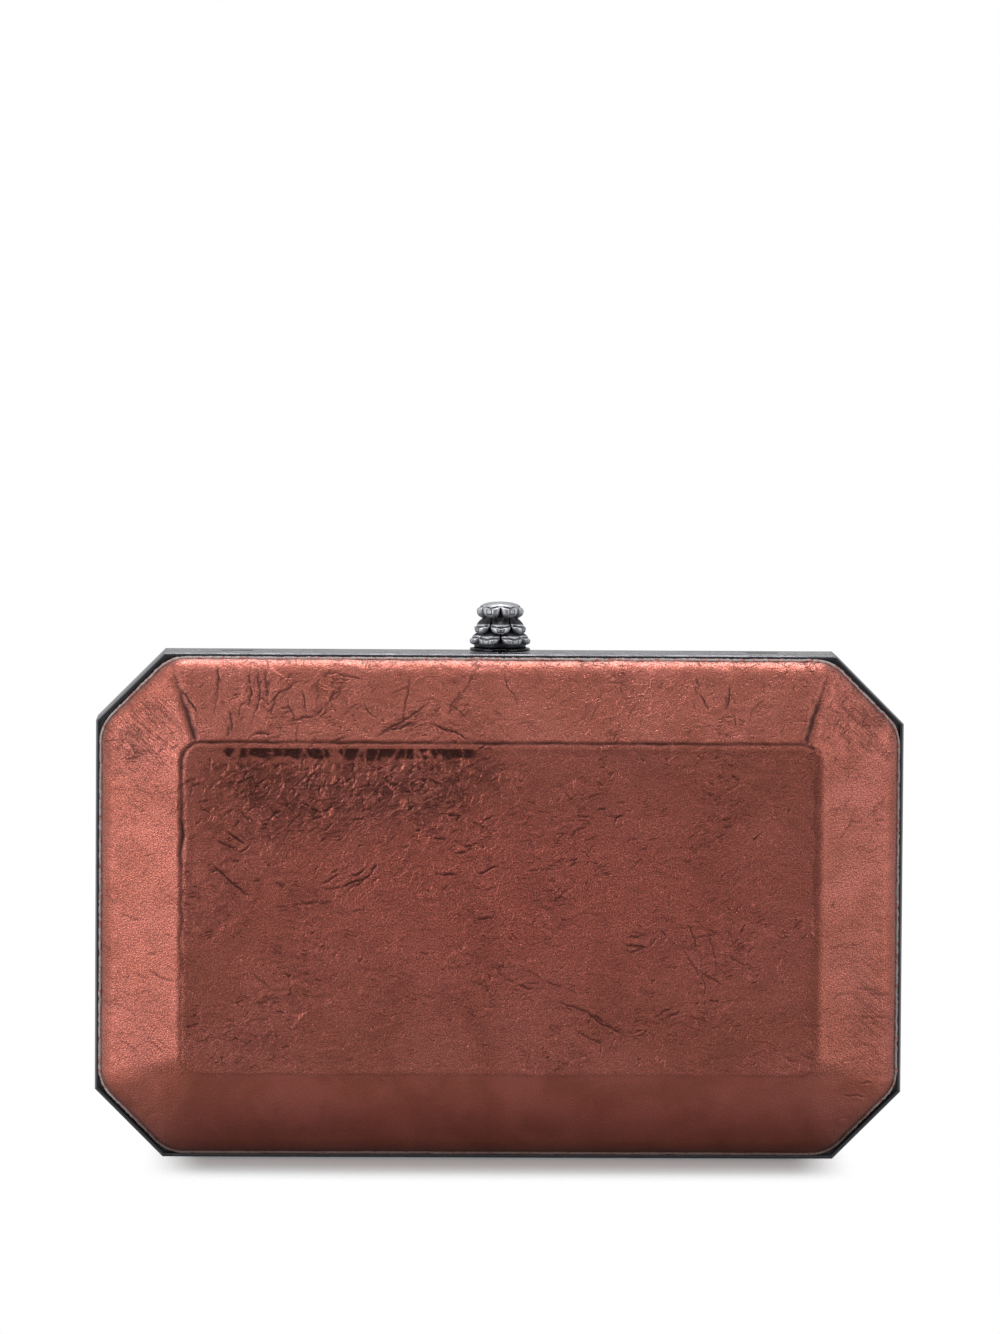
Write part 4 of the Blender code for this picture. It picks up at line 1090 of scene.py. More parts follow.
def crushed_area(face):
    """The mask of the crushed area at the upper left of the table, weaker on the rear."""
    mask = face.spot(-45.0, 30.0, 32.0, 11.0) + 0.8 * face.spot(-14.0, 31.0, 12.0, 8.0)
    mask = np.clip(mask * (1.10 + 0.45 * face.swell(9.0, 24)), 0, 1)
    return mask * face.on_table * eased(face.past, -3.2, -5.5) * (1.0 if face.front else 0.5)


def crumple(face, crushed):
    """Press crumples into a panel, paint shade into the lines between its facets, and return the mask of
    where its film crinkles.
    """
    patchy = eased(face.swell(20.0, 2) + 0.4 * face.swell(8.0, 3), -0.30, 0.45)
    crinkle = (0.50 + 0.50 * patchy) * (1 - 0.92 * eased(face.up, -36.0, -41.0))
    calm = (1 - face.on_table) * eased(face.up, 38, 30)
    crinkle = np.clip(crinkle * (1 - 0.72 * calm) + 0.3 * crushed, 0, 1)
    web, web_lines = face.crumpled((5.2, 2.7), 38, 10)
    fine_web, fine_lines = face.crumpled((1.9, 1.0), 20, 20)
    loose, loose_lines = face.crumpled((6.0, 3.2), -22, 30)
    ridges = eased(face.swell(3.0, 21), -0.1, 0.2)
    face.height += crushed * (0.11 * web + 0.03 * fine_web + 0.18 * web_lines * (1.6 * ridges - 0.6))
    face.height += crinkle * (1 - 0.6 * calm) * (0.12 * loose + 0.050 * fine_web)
    face.add_painted_shade(crushed * (0.95 * web_lines * (1 - ridges) + 0.50 * fine_lines * eased(fine_web, 0.25, -0.2)))
    face.add_painted_shade(0.35 * crinkle * loose_lines * eased(fine_web, 0.1, 0.6))
    return crinkle


def press_seam(face):
    """Press the groove round the table, with the bead inside it, and paint shade into the groove; it is
    deepest along the top.
    """
    left = face.faced < 0

    def by_edge(over, at_left, at_right):
        return np.where(face.over_edge, over, np.where(left, at_left, at_right))

    stray = by_edge(0.4, 1.0, 1.0) * (0.40 * face.swell(5.0, 6) + 0.16 * face.swell(1.5, 7))
    rim = abs(face.past + stray + by_edge(0.0, 0.0, 0.8))
    seam = by_edge(np.where(face.up > 0, 1.15, 0.25), 1.0, 0.75)
    seam = seam * (0.80 + 0.25 * face.swell(11.0, 16)) * (1 + 0.2 * face.swell(2.5, 17))
    seam = seam * np.where(face.over_edge, 1.0, 0.35 + 0.65 * eased(face.up, -20, 16))
    groove = bell(rim, by_edge(0.40, 0.62, 1.10)) * seam
    bead = bell(face.past + 1.3, 0.8) * by_edge(np.where(face.up > 0, 1.0, 0.2), 0.25, 0.25)
    face.height += 0.12 * bead - 0.34 * groove + 0.10 * bell(face.past - 1.2, 0.8) * by_edge(0.0, 1.0, 1.0)
    face.add_painted_shade(groove * by_edge(1.0, 1.0, 0.66))


def press_mitre_folds(face):
    """Press the folds that run from the table's upper corners to the cut corners, and paint shade into their
    valleys.
    """
    corner = np.array((face.table_x - 3.2, face.table_z + 0.3))
    leg = bpy.context.scene.clutch_leather.corner_leg
    tip = panel_octagon(PANEL_INSET, leg)[1] / MM - (0, BODY_HEIGHT / 2 / MM)
    reach = np.linalg.norm(tip - corner)
    line = unit(tip - corner)
    for way in (-1, 1):
        off_x, off_z = face.across * way - corner[0], face.up - corner[1]
        along = off_x * line[0] + off_z * line[1]
        aside = off_x * line[1] - off_z * line[0]
        aside = aside + 0.35 * swell(along, along * 0, 4.0, face.seed + 8) + 0.2 * face.swell(2.0, 9)
        body = eased(along, -0.8, 1.0) * eased(along, reach - 0.5, reach - 5.0)
        strength = 1.0 - 0.55 * eased(along, 6.0, reach * 0.8)
        valley = bell(aside, 1.0 - 0.030 * np.clip(along, 0, reach)) * body * strength
        face.height += 0.08 * bell(abs(aside) - 1.5, 0.9) * body - 0.32 * valley
        face.add_painted_shade(valley)


def painted_shade_and_dark_patches(face, crushed):
    """Raise the ribs under the table's top edge, and return a mask of painted dark reflection in a patchy
    band between them, darker patches in the crushed area, and painted shade towards the bottom.
    """
    ragged = face.past + 0.9 * face.swell(2.6, 22) + 0.4 * face.swell(1.0, 23)
    # Painted dark reflection in a patchy band under the table's top edge, between the ribs.
    band = eased(face.past, -1.3, -1.5) * eased(ragged, -4.2, -3.2) * (face.up > 0) * face.over_edge
    slow = swell(face.faced, face.up * 0, 7.0, 5)
    patches = eased(slow + 0.25 * swell(face.faced, face.up, 1.2, face.seed + 13), -0.42, -0.30)
    streak = eased(face.faced, -68, -66) * eased(face.faced, -4, -8) * (1.0 if face.front else 0.3)
    blot = eased(face.swell(5.0, 14) + 0.5 * face.swell(2.0, 15), -0.10, 0.35)
    patches_and_painted_shade = np.maximum(0.86 * band * patches * streak, (0.17 + 0.26 * blot) * crushed)
    stirred = face.across + 0.8 * face.swell(4.0, 18)
    rib = eased(abs(swell(stirred, face.up * 0.22, 3.4, face.seed + 19)), 0.13, 0.04)
    rib = rib * eased(face.up, 30, 34) * eased(face.past, -0.9, -1.8) * streak
    face.height += 0.15 * rib
    face.dark = face.dark * (1 - 0.8 * rib)
    # Painted shade darkens the leather towards the bottom.
    return np.maximum(patches_and_painted_shade * (1 - 0.95 * rib), 0.38 * eased(face.up, -41.0, -58.5))


def netted_parts(face):
    """The mask of where raised creases meet in a net, apart from the crushed area."""
    spots = (
        (0.8, (-57, 50, 4, 6)),
        (0.8, (-42, 50, 5, 5)),
        (0.7, (-18, 44, 7, 4)),
        (0.6, (34, 49, 14, 6)),
        (0.3, (-30, 8, 26, 12)),
        (0.25, (-8, 15, 14, 12)),
    )
    return sum(share * face.spot(*place) for share, place in spots)


def dress_leather(item, points, side):
    """Press creases, crumples and folds into a panel, and keep the masks that its material reads."""
    face = LeatherFace(points, side)
    crushed = crushed_area(face)
    crinkle = crumple(face, crushed)
    pressed, painted_crease_shade = press_creases(face.across, face.up, face.seed, face.mirror)
    face.height += 0.15 * pressed * face.free
    face.add_painted_shade(1.15 * painted_crease_shade)
    press_seam(face)
    press_mitre_folds(face)
    lip = eased(face.over_rail, 0.7, 1.8) * eased(face.over_rail, 5.0, 2.6)
    slanted_x, slanted_z = face.across + face.up * 0.7, face.up - face.across * 0.4
    face.height += lip * 0.07 * swell(slanted_x, slanted_z, 2.4, face.seed + 12)
    patches_and_painted_shade = painted_shade_and_dark_patches(face, crushed)
    pleat = face.spot(-84, 44, 9, 11) + 0.9 * face.spot(84, 45, 6, 8) + 0.6 * face.spot(87, -26, 5, 14)
    push_out(item, points, face.height * MM * eased(face.over_rail, -1.2, 1.0))
    # The film mask is a painted highlight, a broad pool of light in the middle of the table.
    middle = face.spot(2.0, 4.0, 64.0, 25.0) * face.on_table
    store(item, "film", 0.82 * middle * (1 - 0.8 * crushed))
    # The fray mask marks the upright edge, where a pale reflection is painted.
    store(item, "painted_girdle_sheen", eased(face.over_rail, 2.1, 0.4))
    store(item, "web", np.clip(1.2 * crushed + netted_parts(face), 0, 1) * face.free)
    # The crease mask is painted shade in the grooves of creases, folds and the seam.
    store(item, "crease", np.clip(face.dark, 0, 1))
    store(item, "crinkle", crinkle * (0.35 + 0.65 * face.free))
    store(item, "patches_and_painted_shade", np.clip(patches_and_painted_shade, 0, 1))
    store(item, "pleat", np.clip(pleat, 0, 1) * face.free)


def sweep_loop(name, loop, section, jitter, seed):
    """A closed rod round a loop of points, with a section of (across, deep) offsets that jitter along it."""
    count = len(loop)
    ahead = np.roll(loop, -1, axis=0) - np.roll(loop, 1, axis=0)
    flat = ahead[:, [0, 2]] / np.linalg.norm(ahead[:, [0, 2]], axis=1)[:, None]
    outwards = np.stack([-flat[:, 1], np.zeros(count), flat[:, 0]], axis=1)
    steps = np.cumsum(np.linalg.norm(ahead, axis=1)) / 2 / MM
    shift = jitter * 0.5 * swell(steps, np.full(count, 3.1), 1.9, seed + 1)
    rings = []
    for index, (out, deep) in enumerate(section):
        stir = 1 + jitter * swell(steps, np.full(count, index * 7.3), 0.8, seed)
        across = outwards * (out * stir + abs(out) * shift)[:, None]
        rings.append(loop + across + np.array([0, deep, 0]) * stir[:, None])
    points = np.stack(rings, axis=1).reshape(-1, 3)
    return surface_mesh(name, points, tube_faces(count, len(section), closed=True))


def set_material(item, material):
    """Give an object one material."""
    item.data.materials.clear()
    item.data.materials.append(material)


def finish_piece(item, material, body, nodes=()):
    """Give a piece its material, its body and the CAD nodes that it stands for."""
    set_material(item, material)
    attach(item, body)
    if nodes:
        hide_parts(*nodes)


def thicken(item, name, thickness):
    """Give a surface a thickness, inwards."""
    thick = item.modifiers.new(name, "SOLIDIFY")
    thick.thickness = thickness
    thick.offset = -1.0


def dress_nodes(names, material, bevel=0.0):
    """Give CAD nodes a finer material, and soften their edges."""
    for name in names:
        item = frame["nodes"][name]
        set_material(item, material)
        if bevel:
            edge = item.modifiers.new("edge", "BEVEL")
            edge.width = bevel
            edge.segments = 2
            edge.limit_method = "ANGLE"
            edge.angle_limit = radians(32)
            edge.harden_normals = True


HALVES = (("front", -1, "front_half"), ("rear", 1, "rear_half"))


class CLUTCH_OT_leather(bpy.types.Operator):
    """Make both leather panels"""

    bl_idname = "clutch.leather"
    bl_label = "Leather panels"

    def execute(self, context):
        given = context.scene.clutch_leather
        gap = given.point_gap * 1.0
        material = leather_material()
        for word, side, body in HALVES:
            item, points = panel_surface(f"{word}_leather_panel", side, 0.0, gap)
            dress_leather(item, points, side)
            finish_piece(item, material, body, [f"{word}_leather"])
        return {"FINISHED"}


EDGE_WIDE = 0.32 * MM
EDGE_DEEP = 0.22 * MM
EDGE_OFF = 0.12 * MM


class CLUTCH_OT_raw_edges(bpy.types.Operator):
    """Make the pale cut edges of the leather, beside the rails"""

    bl_idname = "clutch.raw_edges"
    bl_label = "Raw leather edges"

    def execute(self, context):
        material = raw_edge_material()
        ring = PanelGrid(0.4 * MM).ring(PANEL_INSET - EDGE_OFF)
        for word, side, body in HALVES:
            loop = np.insert(ring, 1, side * (RAIL_DEPTH + EDGE_OFF), axis=1)
            section = rod_section(EDGE_WIDE, EDGE_DEEP, 8)
            item = sweep_loop(f"{word}_leather_edge", loop, section, 0.55, 5 + side)
            finish_piece(item, material, body)
        return {"FINISHED"}


LINING_GAP = 0.9 * MM


class CLUTCH_OT_lining(bpy.types.Operator):
    """Make the suede linings of both halves and the felt between their rails, and finish the board"""

    bl_idname = "clutch.lining"
    bl_label = "Linings"

    def execute(self, context):
        given = context.scene.clutch_lining
        material = lining_material()
        for word, side, body in HALVES:
            item, points = panel_surface(f"{word}_suede_lining", side, LINING_FACE, LINING_GAP)
            across = points[:, 0] / MM
            up = (points[:, 2] - BODY_HEIGHT / 2) / MM
            height = 0.10 * swell(across, up, 14.0, 41 + side) + 0.05 * swell(across, up, 5.0, 43 + side)
            push_out(item, points, height * MM * eased(abs(points[:, 1]), SEAT, SEAT + 2 * MM))
            thicken(item, "cloth", given.cloth)
            finish_piece(item, material, body, [f"{word}_lining"])
        for word, way in (("left", -1), ("right", 1)):
            finish_piece(felt_strip(f"felt_strip_{word}", way), material, "rear_half")
        dress_nodes(("front_shell", "rear_shell"), board_material())
        return {"FINISHED"}


FELT_WIDE = 0.24 * MM
FELT_DEEP = 0.13 * MM
FELT_INSET = 0.4 * MM
FELT_ENDS = 17 * MM


def felt_strip(name, way):
    """The felt on one upright rail of the rear half, which fills the slit between the closed rails."""
    steps = 200
    place_x, place_y = way * (BODY_WIDTH / 2 - FELT_INSET), -RAIL_HIGH.y - FELT_DEEP
    low, high = FELT_ENDS, BODY_HEIGHT - FELT_ENDS
    climb = np.linspace(low, high, steps)
    foot = eased(climb, low - 0.1 * MM, low + 1 * MM)
    head = eased(climb, high + 0.1 * MM, high - 1 * MM)
    taper = np.minimum(foot, head) * (0.96 + 0.04 * swell(climb / MM, climb * 0, 1.3, 51 + way))
    section = rod_section(FELT_WIDE, FELT_DEEP, 8)
    rings = []
    for out, deep in section:
        rings.append(np.stack([place_x + out * taper, place_y + deep * taper, climb], axis=1))
    return surface_mesh(name, np.stack(rings, axis=1).reshape(-1, 3), tube_faces(steps, len(section)))


class CLUTCH_OT_rails(bpy.types.Operator):
    """Finish the rails and the chain eyes"""

    bl_idname = "clutch.rails"
    bl_label = "Rails"

    def execute(self, context):
        given = context.scene.clutch_metal
        material = metal_material("gunmetal", given.gunmetal, 0.17, (0.15, 3.0, 3.0), 0.09, 0.05)
        dress_nodes(("front_frame", "rear_frame"), material, given.edge_bevel)
        dress_nodes(("chain_eye_left", "chain_eye_right"), material)
        return {"FINISHED"}


class CLUTCH_OT_collar(bpy.types.Operator):
    """Make the black disc under the knob"""

    bl_idname = "clutch.collar"
    bl_label = "Disc"

    def execute(self, context):
        given = context.scene.clutch_metal
        material = metal_material("black_plating", given.black, 0.08, (2.0, 2.0, 2.0), 0.06, 0.04, 0.4)
        disc = turned_piece("knob_disc", disc_profile(*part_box("clasp_collar")), 128)
        crisp = disc.modifiers.new("crisp", "EDGE_SPLIT")
        crisp.split_angle = radians(50)
        finish_piece(disc, material, "rear_half", ["clasp_collar"])
        return {"FINISHED"}


def disc_profile(low, high):
    """(radius, height) points of the disc: a ring at its rim, a recess, and a collar round the stem."""
    rim, edge, top = high.x / MM, 0.12, (high.z - low.z) / MM
    plate, recess = 0.70, 0.14
    ring_inner, recess_outer, collar, bore, start = 6.55, 6.40, 2.8, 1.9, 3.2
    points = ((start, 0.0), (rim - edge, 0.0), (rim, edge), (rim, plate - edge), (rim - edge, plate))
    points += ((ring_inner, plate), (recess_outer, recess), (collar, recess), (collar, top - edge))
    points += ((collar - edge, top), (bore, top), (bore, 0.0), (start, 0.0))
    return [(radius * MM, low.z + height * MM) for radius, height in points]


WIRE_RADIUS = 0.2 * MM
WIRE_TURNS = 3


class CLUTCH_OT_hardware(bpy.types.Operator):
    """Finish the hinge, the latch and the rivets, and make the spring's wire"""

    bl_idname = "clutch.hardware"
    bl_label = "Hinge and latch"

    def execute(self, context):
        given = context.scene.clutch_metal
        brushed = metal_material("brushed_steel", given.steel, 0.30, (0.25, 5.0, 5.0), 0.10, 0.10)
        turned = metal_material("turned_steel", given.steel, 0.24, (0.6, 0.6, 9.0), 0.10, 0.08)
        dark = opaque(given.steel, 0.55)[:3]
        sprung = metal_material("spring_steel", dark, 0.34, (2.0, 2.0, 6.0), 0.10, 0.08)
        flat = ["clasp_bracket", "latch_bar", "striker_left", "striker_right"]
        flat.extend(f"{word}_hinge_leaf" for word in ("front", "rear"))
        round_ones = ["hinge_pin", "guide_bushing", "bushing_nut", "knob_stem"]
        round_ones.extend(name for name in frame["nodes"] if "rivet" in name)
        dress_nodes(flat, brushed, given.edge_bevel)
        dress_nodes(round_ones, turned, given.edge_bevel)
        dress_nodes(("stem_clip",), sprung, given.edge_bevel)
        wire = spring_wire()
        finish_piece(wire, sprung, "rear_half", ["return_spring"])
        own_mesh(wire)
        return {"FINISHED"}


def spring_wire():
    """The coil spring as one smooth wire."""
    middle = (SPRING_HIGH.x - SPRING_LOW.x) / 2 - WIRE_RADIUS
    count = WIRE_TURNS * 40
    angle = 2 * pi * WIRE_TURNS * np.arange(count + 1) / count
    climb = np.linspace(SPRING_LOW.z + WIRE_RADIUS, SPRING_HIGH.z - WIRE_RADIUS, count + 1)
    outwards = np.stack([np.cos(angle), np.sin(angle), np.zeros(count + 1)], axis=1)
    line = middle * outwards + climb[:, None] * np.array((0.0, 0.0, 1.0))
    ahead = np.gradient(line, axis=0)
    ahead /= np.linalg.norm(ahead, axis=1)[:, None]
    upwards = np.cross(ahead, outwards)
    section = rod_section(WIRE_RADIUS, WIRE_RADIUS, 10)
    rings = [line + out * outwards + rise * upwards for out, rise in section]
    points = np.stack(rings, axis=1).reshape(-1, 3)
    return surface_mesh("return_spring_wire", points, tube_faces(count + 1, len(section)))


TIER_RISE = 4.0 * MM
CROWN_RADIUS = 5.08 * MM
CROWN_FOOT = KNOB_LOW.z + 6.45 * MM
CROWN_RISE = KNOB_HIGH.z - KNOB_LOW.z - 6.20 * MM

# The knob's tiers of scales: radius, height of the tips, rise, and turn in scales.
SCALE_COUNT = 6
SCALE_TIERS = (
    ("bottom", 6.72 * MM, KNOB_LOW.z, TIER_RISE, 0.5),
    ("middle", 6.07 * MM, KNOB_LOW.z + 2.75 * MM, TIER_RISE, 0.0),
    ("top", CROWN_RADIUS, CROWN_FOOT, CROWN_RISE, 0.5),
)


class CLUTCH_OT_knob(bpy.types.Operator):
    """Make the scaled knob: a core painted dark as shade, three tiers of scales and the crown that closes
    them
    """

    bl_idname = "clutch.knob"
    bl_label = "Knob"

    def execute(self, context):
        material = knob_material()
        core = turned_piece("knob_core", core_profile(), 48)
        # The core is painted dark all over, as shade between the tiers; the crown is given none.
        store(core, "knob_painted_shade", np.ones(len(core.data.vertices)))
        finish_piece(core, material, "knob", ["knob_cone"])
        for word, radius, foot, rise, turn in SCALE_TIERS:
            scales = knob_tier(f"knob_scales_{word}", radius, foot, rise, turn, word == "top")
            finish_piece(scales, material, "knob")
        share = np.linspace(0.46, 0.0, 16)
        out, height = crown_curve(share)
        lift = 0.05 * MM * eased(share, 0.46, 0.38) - 0.25 * MM * eased(share, 0.44, 0.46)
        cap = turned_piece("knob_crown", list(zip(out, height + lift)), 96)
        store(cap, "knob_painted_shade", np.zeros(len(cap.data.vertices)))
        finish_piece(cap, material, "knob")
        return {"FINISHED"}


def crown_curve(share):
    """Radius and height along the crown, from its middle down."""
    root = 0.2 * MM
    out = root + (CROWN_RADIUS - root) * np.sin(np.clip(share / 0.72, 0, 1) * pi / 2) ** 0.85
    return out, CROWN_FOOT + CROWN_RISE * np.clip(1 - (np.clip(share, 0, 0.93) / 0.93) ** 2.1, 0, 1)


def core_profile():
    """(radius, height) points of the knob's core, from its foot up."""
    points = ((0.0, 0.05), (1.9, 0.05), (2.2, 0.01), (5.4, 0.01), (5.5, -0.055), (6.0, -0.055))
    points += ((6.1, -0.045), (6.1, 0.02), (5.9, 0.05), (3.9, 0.16), (3.5, 0.30))
    points += ((3.9, 0.46), (3.4, 0.56), (3.6, 0.72), (3.0, 0.86), (0.0, 0.95))
    return [(radius * MM, KNOB_LOW.z + (KNOB_HIGH.z - KNOB_LOW.z) * share) for radius, share in points]


def turned_piece(name, profile, steps):
    """A round piece turned about the knob's axis."""
    angle = 2 * pi * np.arange(steps) / steps
    rings = []
    for radius, height in profile:
        reach = max(radius, 0.01 * MM)
        rings.append(np.stack([reach * np.cos(angle), reach * np.sin(angle), np.full(steps, height)], axis=1))
    return surface_mesh(name, np.concatenate(rings), tube_faces(len(profile), steps))


def scale_outline(v, crown):
    """How wide a scale is along its length, as a share, from its root at v = 0 to its rounded tip."""
    waist = 0.60 if crown else 0.42
    blade = (1 - np.clip((v - waist) / (1 - waist), 0, 1) ** 2.4) ** 0.55
    return np.clip(blade, 0.03, 1) * (1.0 if crown else 0.90 + 0.10 * eased(v, 0.0, 0.3))


def scale_relief(u, v, crown):
    """A scale's relief in millimetres, a sloped back, a V groove and a lip with a boss, and its painted
    shade: on the back under the tier above, in the groove, between scales, round and on the boss, and at the
    tip.
    """
    side = abs(u)
    brow = 0.47 + 0.10 * (1 - side)
    from_boss = abs(v - 0.715)
    back = eased(v, 0.16, 0.26) * eased(v, brow - 0.02, brow - 0.09) * eased(side, 0.95, 0.75)
    lip = eased(v, brow + 0.01, brow + 0.08) * eased(v, 0.97, 0.86) * eased(side, 1.0, 0.80)
    groove = bell(v - brow, 0.030) * eased(side, 0.92, 0.80)
    boss = eased(side, 0.23, 0.17) * eased(from_boss, 0.075, 0.055)
    frame = eased(side, 0.32, 0.27) * eased(from_boss, 0.115, 0.095) - boss
    eye = eased(side, 0.10, 0.07) * eased(from_boss, 0.034, 0.022)
    relief = 0.16 * back + 0.42 * lip - 0.24 * groove + 0.02 * boss - 0.04 * frame - 0.03 * eye
    masks = (
        0.97 * eased(v, 0.47 - 0.04 * side, 0.36) * (0.0 if crown else 1.0),
        0.95 * bell(v - brow, 0.040) * eased(side, 0.92, 0.80),
        0.85 * eased(side, 0.88, 1.0) * (eased(v, 0.45, 0.62) if crown else 1.0),
        0.80 * frame,
        0.35 * boss,
        0.8 * eye,
        0.9 * eased(v, 0.93, 0.99),
    )
    return relief, np.maximum.reduce(masks)


def knob_tier(name, radius, foot, rise, turn, crown):
    """Overlapping scales round the knob. Those of the crown close over its top."""
    wide, tall = 36, 44
    root, thickness = 3.7 * MM, 0.6 * MM
    u, v = np.meshgrid(np.linspace(-1, 1, wide + 1), np.linspace(0, 1, tall + 1), indexing="ij")
    if crown:
        out, height = crown_curve(v)
    else:
        out = root + (radius - root) * eased(v, -0.16, 0.62)
        height = foot + rise * np.clip(1 - v / 0.93, 0, 1)
    relief, knob_painted_shade = scale_relief(u, v, crown)
    out = out - 1.3 * MM * eased(v, 0.76, 1.04) ** 1.3
    out = out - 0.20 * radius * abs(u) ** 2.6 * (eased(v, 0.40, 0.75) if crown else eased(v, 0.05, 0.45))
    out = out + MM * relief
    angle = u * radians(30.0 if crown else 29.0) * scale_outline(v, crown)
    column, row = np.meshgrid(np.arange(wide), np.arange(tall), indexing="ij")
    first = (column * (tall + 1) + row).ravel()
    quad = np.stack([first, first + tall + 1, first + tall + 2, first + 1], axis=1)
    points, faces = [], []
    for index in range(SCALE_COUNT):
        whole = angle - pi / 2 + 2 * pi / SCALE_COUNT * (index + turn)
        points.append(np.stack([out * np.cos(whole), out * np.sin(whole), height], axis=2).reshape(-1, 3))
        faces.append(quad + index * angle.size)
    points = np.concatenate(points)
    item = surface_mesh(name, points, np.concatenate(faces))
    if (normals_of(item) * points)[:, :2].sum() < 0:
        item.data.flip_normals()
    store(item, "knob_painted_shade", np.tile(knob_painted_shade.ravel(), SCALE_COUNT))
    thicken(item, "scale", thickness)
    return item


class CLUTCH_OT_stage(bpy.types.Operator):
    """Set up the floor, lamps, backdrop and camera"""

    bl_idname = "clutch.stage"
    bl_label = "Studio"

    def execute(self, context):
        given = context.scene.clutch_stage
        pale_floor(given.floor_radius)
        middle = Vector((0.0, 0.0, BODY_HEIGHT / 2))
        lamp("key_lamp", (-1.05, -0.95, 0.40), middle, 0.85, given.key)
        lamp("fill_lamp", (1.10, -0.85, 0.35), middle, 0.80, given.fill)
        lamp("top_lamp", (0.0, 0.22, 1.20), middle, 0.40, given.top)
        studio_world(context.scene)
        context.scene.view_settings.view_transform = "Standard"
        camera_at(given)
        return {"FINISHED"}


def lamp(name, place, target, size, power):
    """A square soft lamp that faces a point."""
    light = bpy.data.lights.new(name, "AREA")
    light.shape = "SQUARE"
    light.size = size
    light.energy = power
    item = add_object(name, light)
    item.location = place
    item.rotation_euler = (target - Vector(place)).to_track_quat("-Z", "Y").to_euler()


def empty_tree(owner):
    """The node tree of a material or world, with nothing in it."""
    owner.use_nodes = True
    owner.node_tree.nodes.clear()
    return owner.node_tree


def floor_material(radius):
    """Pale and matt. It clears towards the floor's edge, and over a half that hangs below the floor."""
    material = bpy.data.materials.new("pale_floor")
    tree = empty_tree(material)
    place = own_place(tree)
    parts = node(tree, "ShaderNodeSeparateXYZ", {0: place}).outputs
    oval = vectors(tree, "MULTIPLY", place, (1.0, 1.3, 0.0))
    away = node(tree, "ShaderNodeVectorMath", {0: oval}, operation="LENGTH").outputs["Value"]
    aside = maths(tree, "ABSOLUTE", parts["X"])
    covered = node(tree, "ShaderNodeAmbientOcclusion", {"Distance": 0.04}, inside=True, samples=8)
    fade = times(
        tree,
        ramp(tree, away, radius * 0.50, radius * 0.98, 1.0, 0.0),
        ramp(tree, aside, 0.068, 0.084, 1.0, 0.0),
        ramp(tree, parts["Y"], -0.030, -0.058, 1.0, 0.0),
        ramp(tree, covered.outputs["AO"], 0.80, 0.99),
    )
    path = node(tree, "ShaderNodeLightPath").outputs
    seen = highest(tree, path["Is Camera Ray"], path["Is Transmission Ray"])
    # Other rays see a darker floor than the camera does, which paints a dimmer reflection into the leather's
    # lower facet; the camera's floor is tinted a little cyan against the leather's red bounce.
    colour = mixed(tree, seen, (0.42, 0.42, 0.42, 1.0), (0.825, 0.895, 0.905, 1.0))
    matt = node(tree, "ShaderNodeBsdfDiffuse", {"Color": colour}).outputs[0]
    clear = node(tree, "ShaderNodeBsdfTransparent").outputs[0]
    both = node(tree, "ShaderNodeMixShader", {0: fade, 1: clear, 2: matt}).outputs[0]
    node(tree, "ShaderNodeOutputMaterial", {"Surface": both})
    return material


def pale_floor(radius):
    """A round pale floor."""
    rings, steps = 24, 96
    turns = [2 * pi * step / steps for step in range(steps)]
    reaches = [radius * ring / rings for ring in range(1, rings + 1)]
    points = [(0.0, 0.0, 0.0)]
    points += [(reach * cos(turn), reach * sin(turn), 0.0) for reach in reaches for turn in turns]
    faces = [(0, 1 + step, 1 + (step + 1) % steps) for step in range(steps)]
    faces += (tube_faces(rings, steps) + 1)[:, ::-1].tolist()
    mesh = bpy.data.meshes.new("pale_floor")
    mesh.from_pydata(points, [], faces)
    mesh.materials.append(floor_material(radius))
    item = add_object("pale_floor", mesh)
    item.location.z = -0.02 * MM
    return item


def studio_world(scene):
    """White to the camera. Metal sees a white room, dim before the object. The rest is soft grey light."""
    scene.world = bpy.data.worlds.new("studio")
    tree = empty_tree(scene.world)
    way = node(tree, "ShaderNodeTexCoord").outputs["Generated"]
    parts = node(tree, "ShaderNodeSeparateXYZ", {0: way}).outputs
    left = ramp(tree, parts["X"], -0.30, -0.85)
    right = ramp(tree, parts["X"], 0.30, 0.85, 0.0, 0.8)
    above = ramp(tree, parts["Z"], 0.25, 0.95, 0.0, 0.7)
    below = ramp(tree, parts["Z"], -0.05, -0.5)
    behind = ramp(tree, parts["Y"], 0.15, 0.60)
    height = maths(tree, "SUBTRACT", parts["Z"], 0.10)
    level = ramp(tree, maths(tree, "ABSOLUTE", height), 0.16, 0.34, 1.0, 0.0)
    sides = maths(tree, "ADD", maths(tree, "ADD", left, right), above)
    sides = highest(tree, maths(tree, "MINIMUM", sides, 1.0), times(tree, behind, level, 0.42))
    sides = times(tree, sides, rest(tree, times(tree, below, 0.7)))
    room = mixed(tree, sides, (0.16, 0.16, 0.165, 1.0), (1.0, 1.0, 1.0, 1.0))
    soft = mixed(tree, sides, (0.10, 0.10, 0.10, 1.0), (0.45, 0.45, 0.45, 1.0))
    path = node(tree, "ShaderNodeLightPath").outputs
    colour = mixed(tree, highest(tree, path["Is Glossy Ray"], path["Is Transmission Ray"]), soft, room)
    colour = mixed(tree, path["Is Camera Ray"], colour, (1.0, 1.0, 1.0, 1.0))
    light = node(tree, "ShaderNodeBackground", {"Color": colour, "Strength": 1.0}).outputs[0]
    node(tree, "ShaderNodeOutputWorld", {"Surface": light})


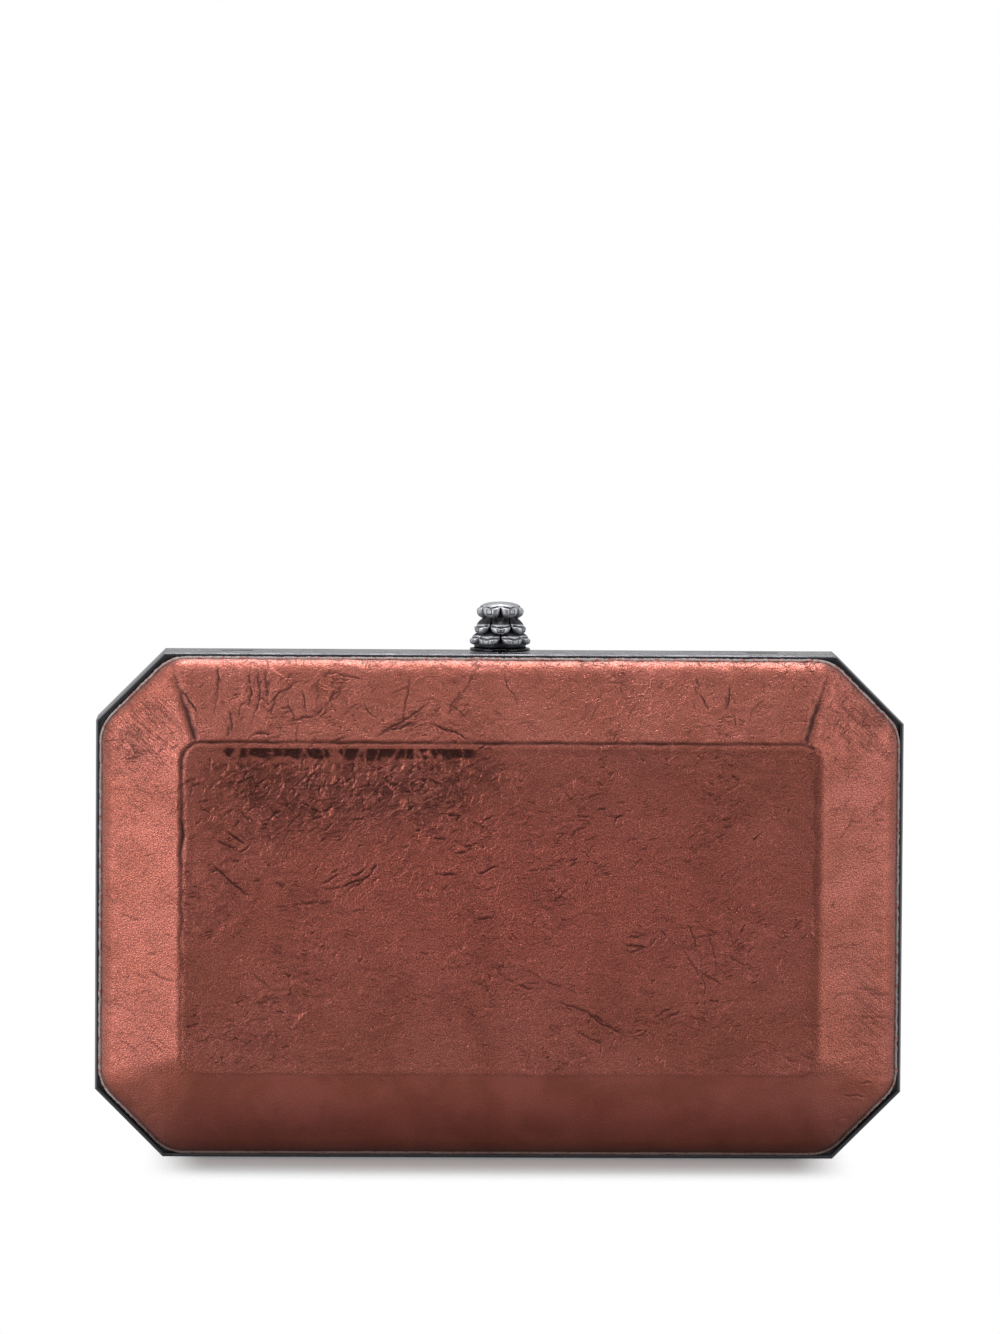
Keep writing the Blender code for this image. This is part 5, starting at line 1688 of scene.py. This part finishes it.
def camera_at(given):
    """The camera, at the photographed angle."""
    lens = bpy.data.cameras.new("camera")
    lens.lens = given.lens
    lens.clip_start = 0.05
    lens.clip_end = 20.0
    item = add_object("camera", lens)
    ahead = Vector((sin(given.yaw) * cos(given.pitch), cos(given.yaw) * cos(given.pitch), sin(given.pitch)))
    right = Vector((cos(given.yaw), -sin(given.yaw), 0.0))
    upright = right.cross(ahead)
    turned_right = cos(given.roll) * right + sin(given.roll) * upright
    turned_up = cos(given.roll) * upright - sin(given.roll) * right
    turn = Matrix((turned_right, turned_up, -ahead)).transposed()
    item.matrix_world = Matrix.Translation(given.eye) @ turn.to_4x4()
    bpy.context.scene.camera = item


OPERATORS = (
    CLUTCH_OT_leather,
    CLUTCH_OT_raw_edges,
    CLUTCH_OT_lining,
    CLUTCH_OT_rails,
    CLUTCH_OT_collar,
    CLUTCH_OT_hardware,
    CLUTCH_OT_knob,
    CLUTCH_OT_stage,
)


class CLUTCH_PT_sidebar(bpy.types.Panel):
    """Buttons and settings of the clutch's looks"""

    bl_idname = "CLUTCH_PT_sidebar"
    bl_label = "Box clutch"
    bl_space_type = "VIEW_3D"
    bl_region_type = "UI"
    bl_category = "Clutch"

    def draw(self, context):
        for operator in OPERATORS:
            self.layout.operator(operator.bl_idname)
        for name in SETTINGS:
            settings = getattr(context.scene, name)
            box = self.layout.box()
            for key in settings.__annotations__:
                box.prop(settings, key)


SETTINGS = {
    "clutch_leather": LeatherSettings,
    "clutch_metal": MetalSettings,
    "clutch_lining": LiningSettings,
    "clutch_stage": StageSettings,
}


def register():
    """Register the settings, the operators and the panel."""
    for name, settings in SETTINGS.items():
        bpy.utils.register_class(settings)
        setattr(bpy.types.Scene, name, bpy.props.PointerProperty(type=settings))
    for operator in (*OPERATORS, CLUTCH_PT_sidebar):
        bpy.utils.register_class(operator)


def unregister():
    """Remove what register added."""
    for operator in reversed((*OPERATORS, CLUTCH_PT_sidebar)):
        bpy.utils.unregister_class(operator)
    for name, settings in SETTINGS.items():
        delattr(bpy.types.Scene, name)
        bpy.utils.unregister_class(settings)


def main():
    """Build the whole scene."""
    register()
    bpy.ops.clutch.stage()
    bpy.ops.clutch.leather()
    bpy.ops.clutch.raw_edges()
    bpy.ops.clutch.lining()
    bpy.ops.clutch.rails()
    bpy.ops.clutch.collar()
    bpy.ops.clutch.hardware()
    bpy.ops.clutch.knob()


if __name__ == "__main__":
    main()
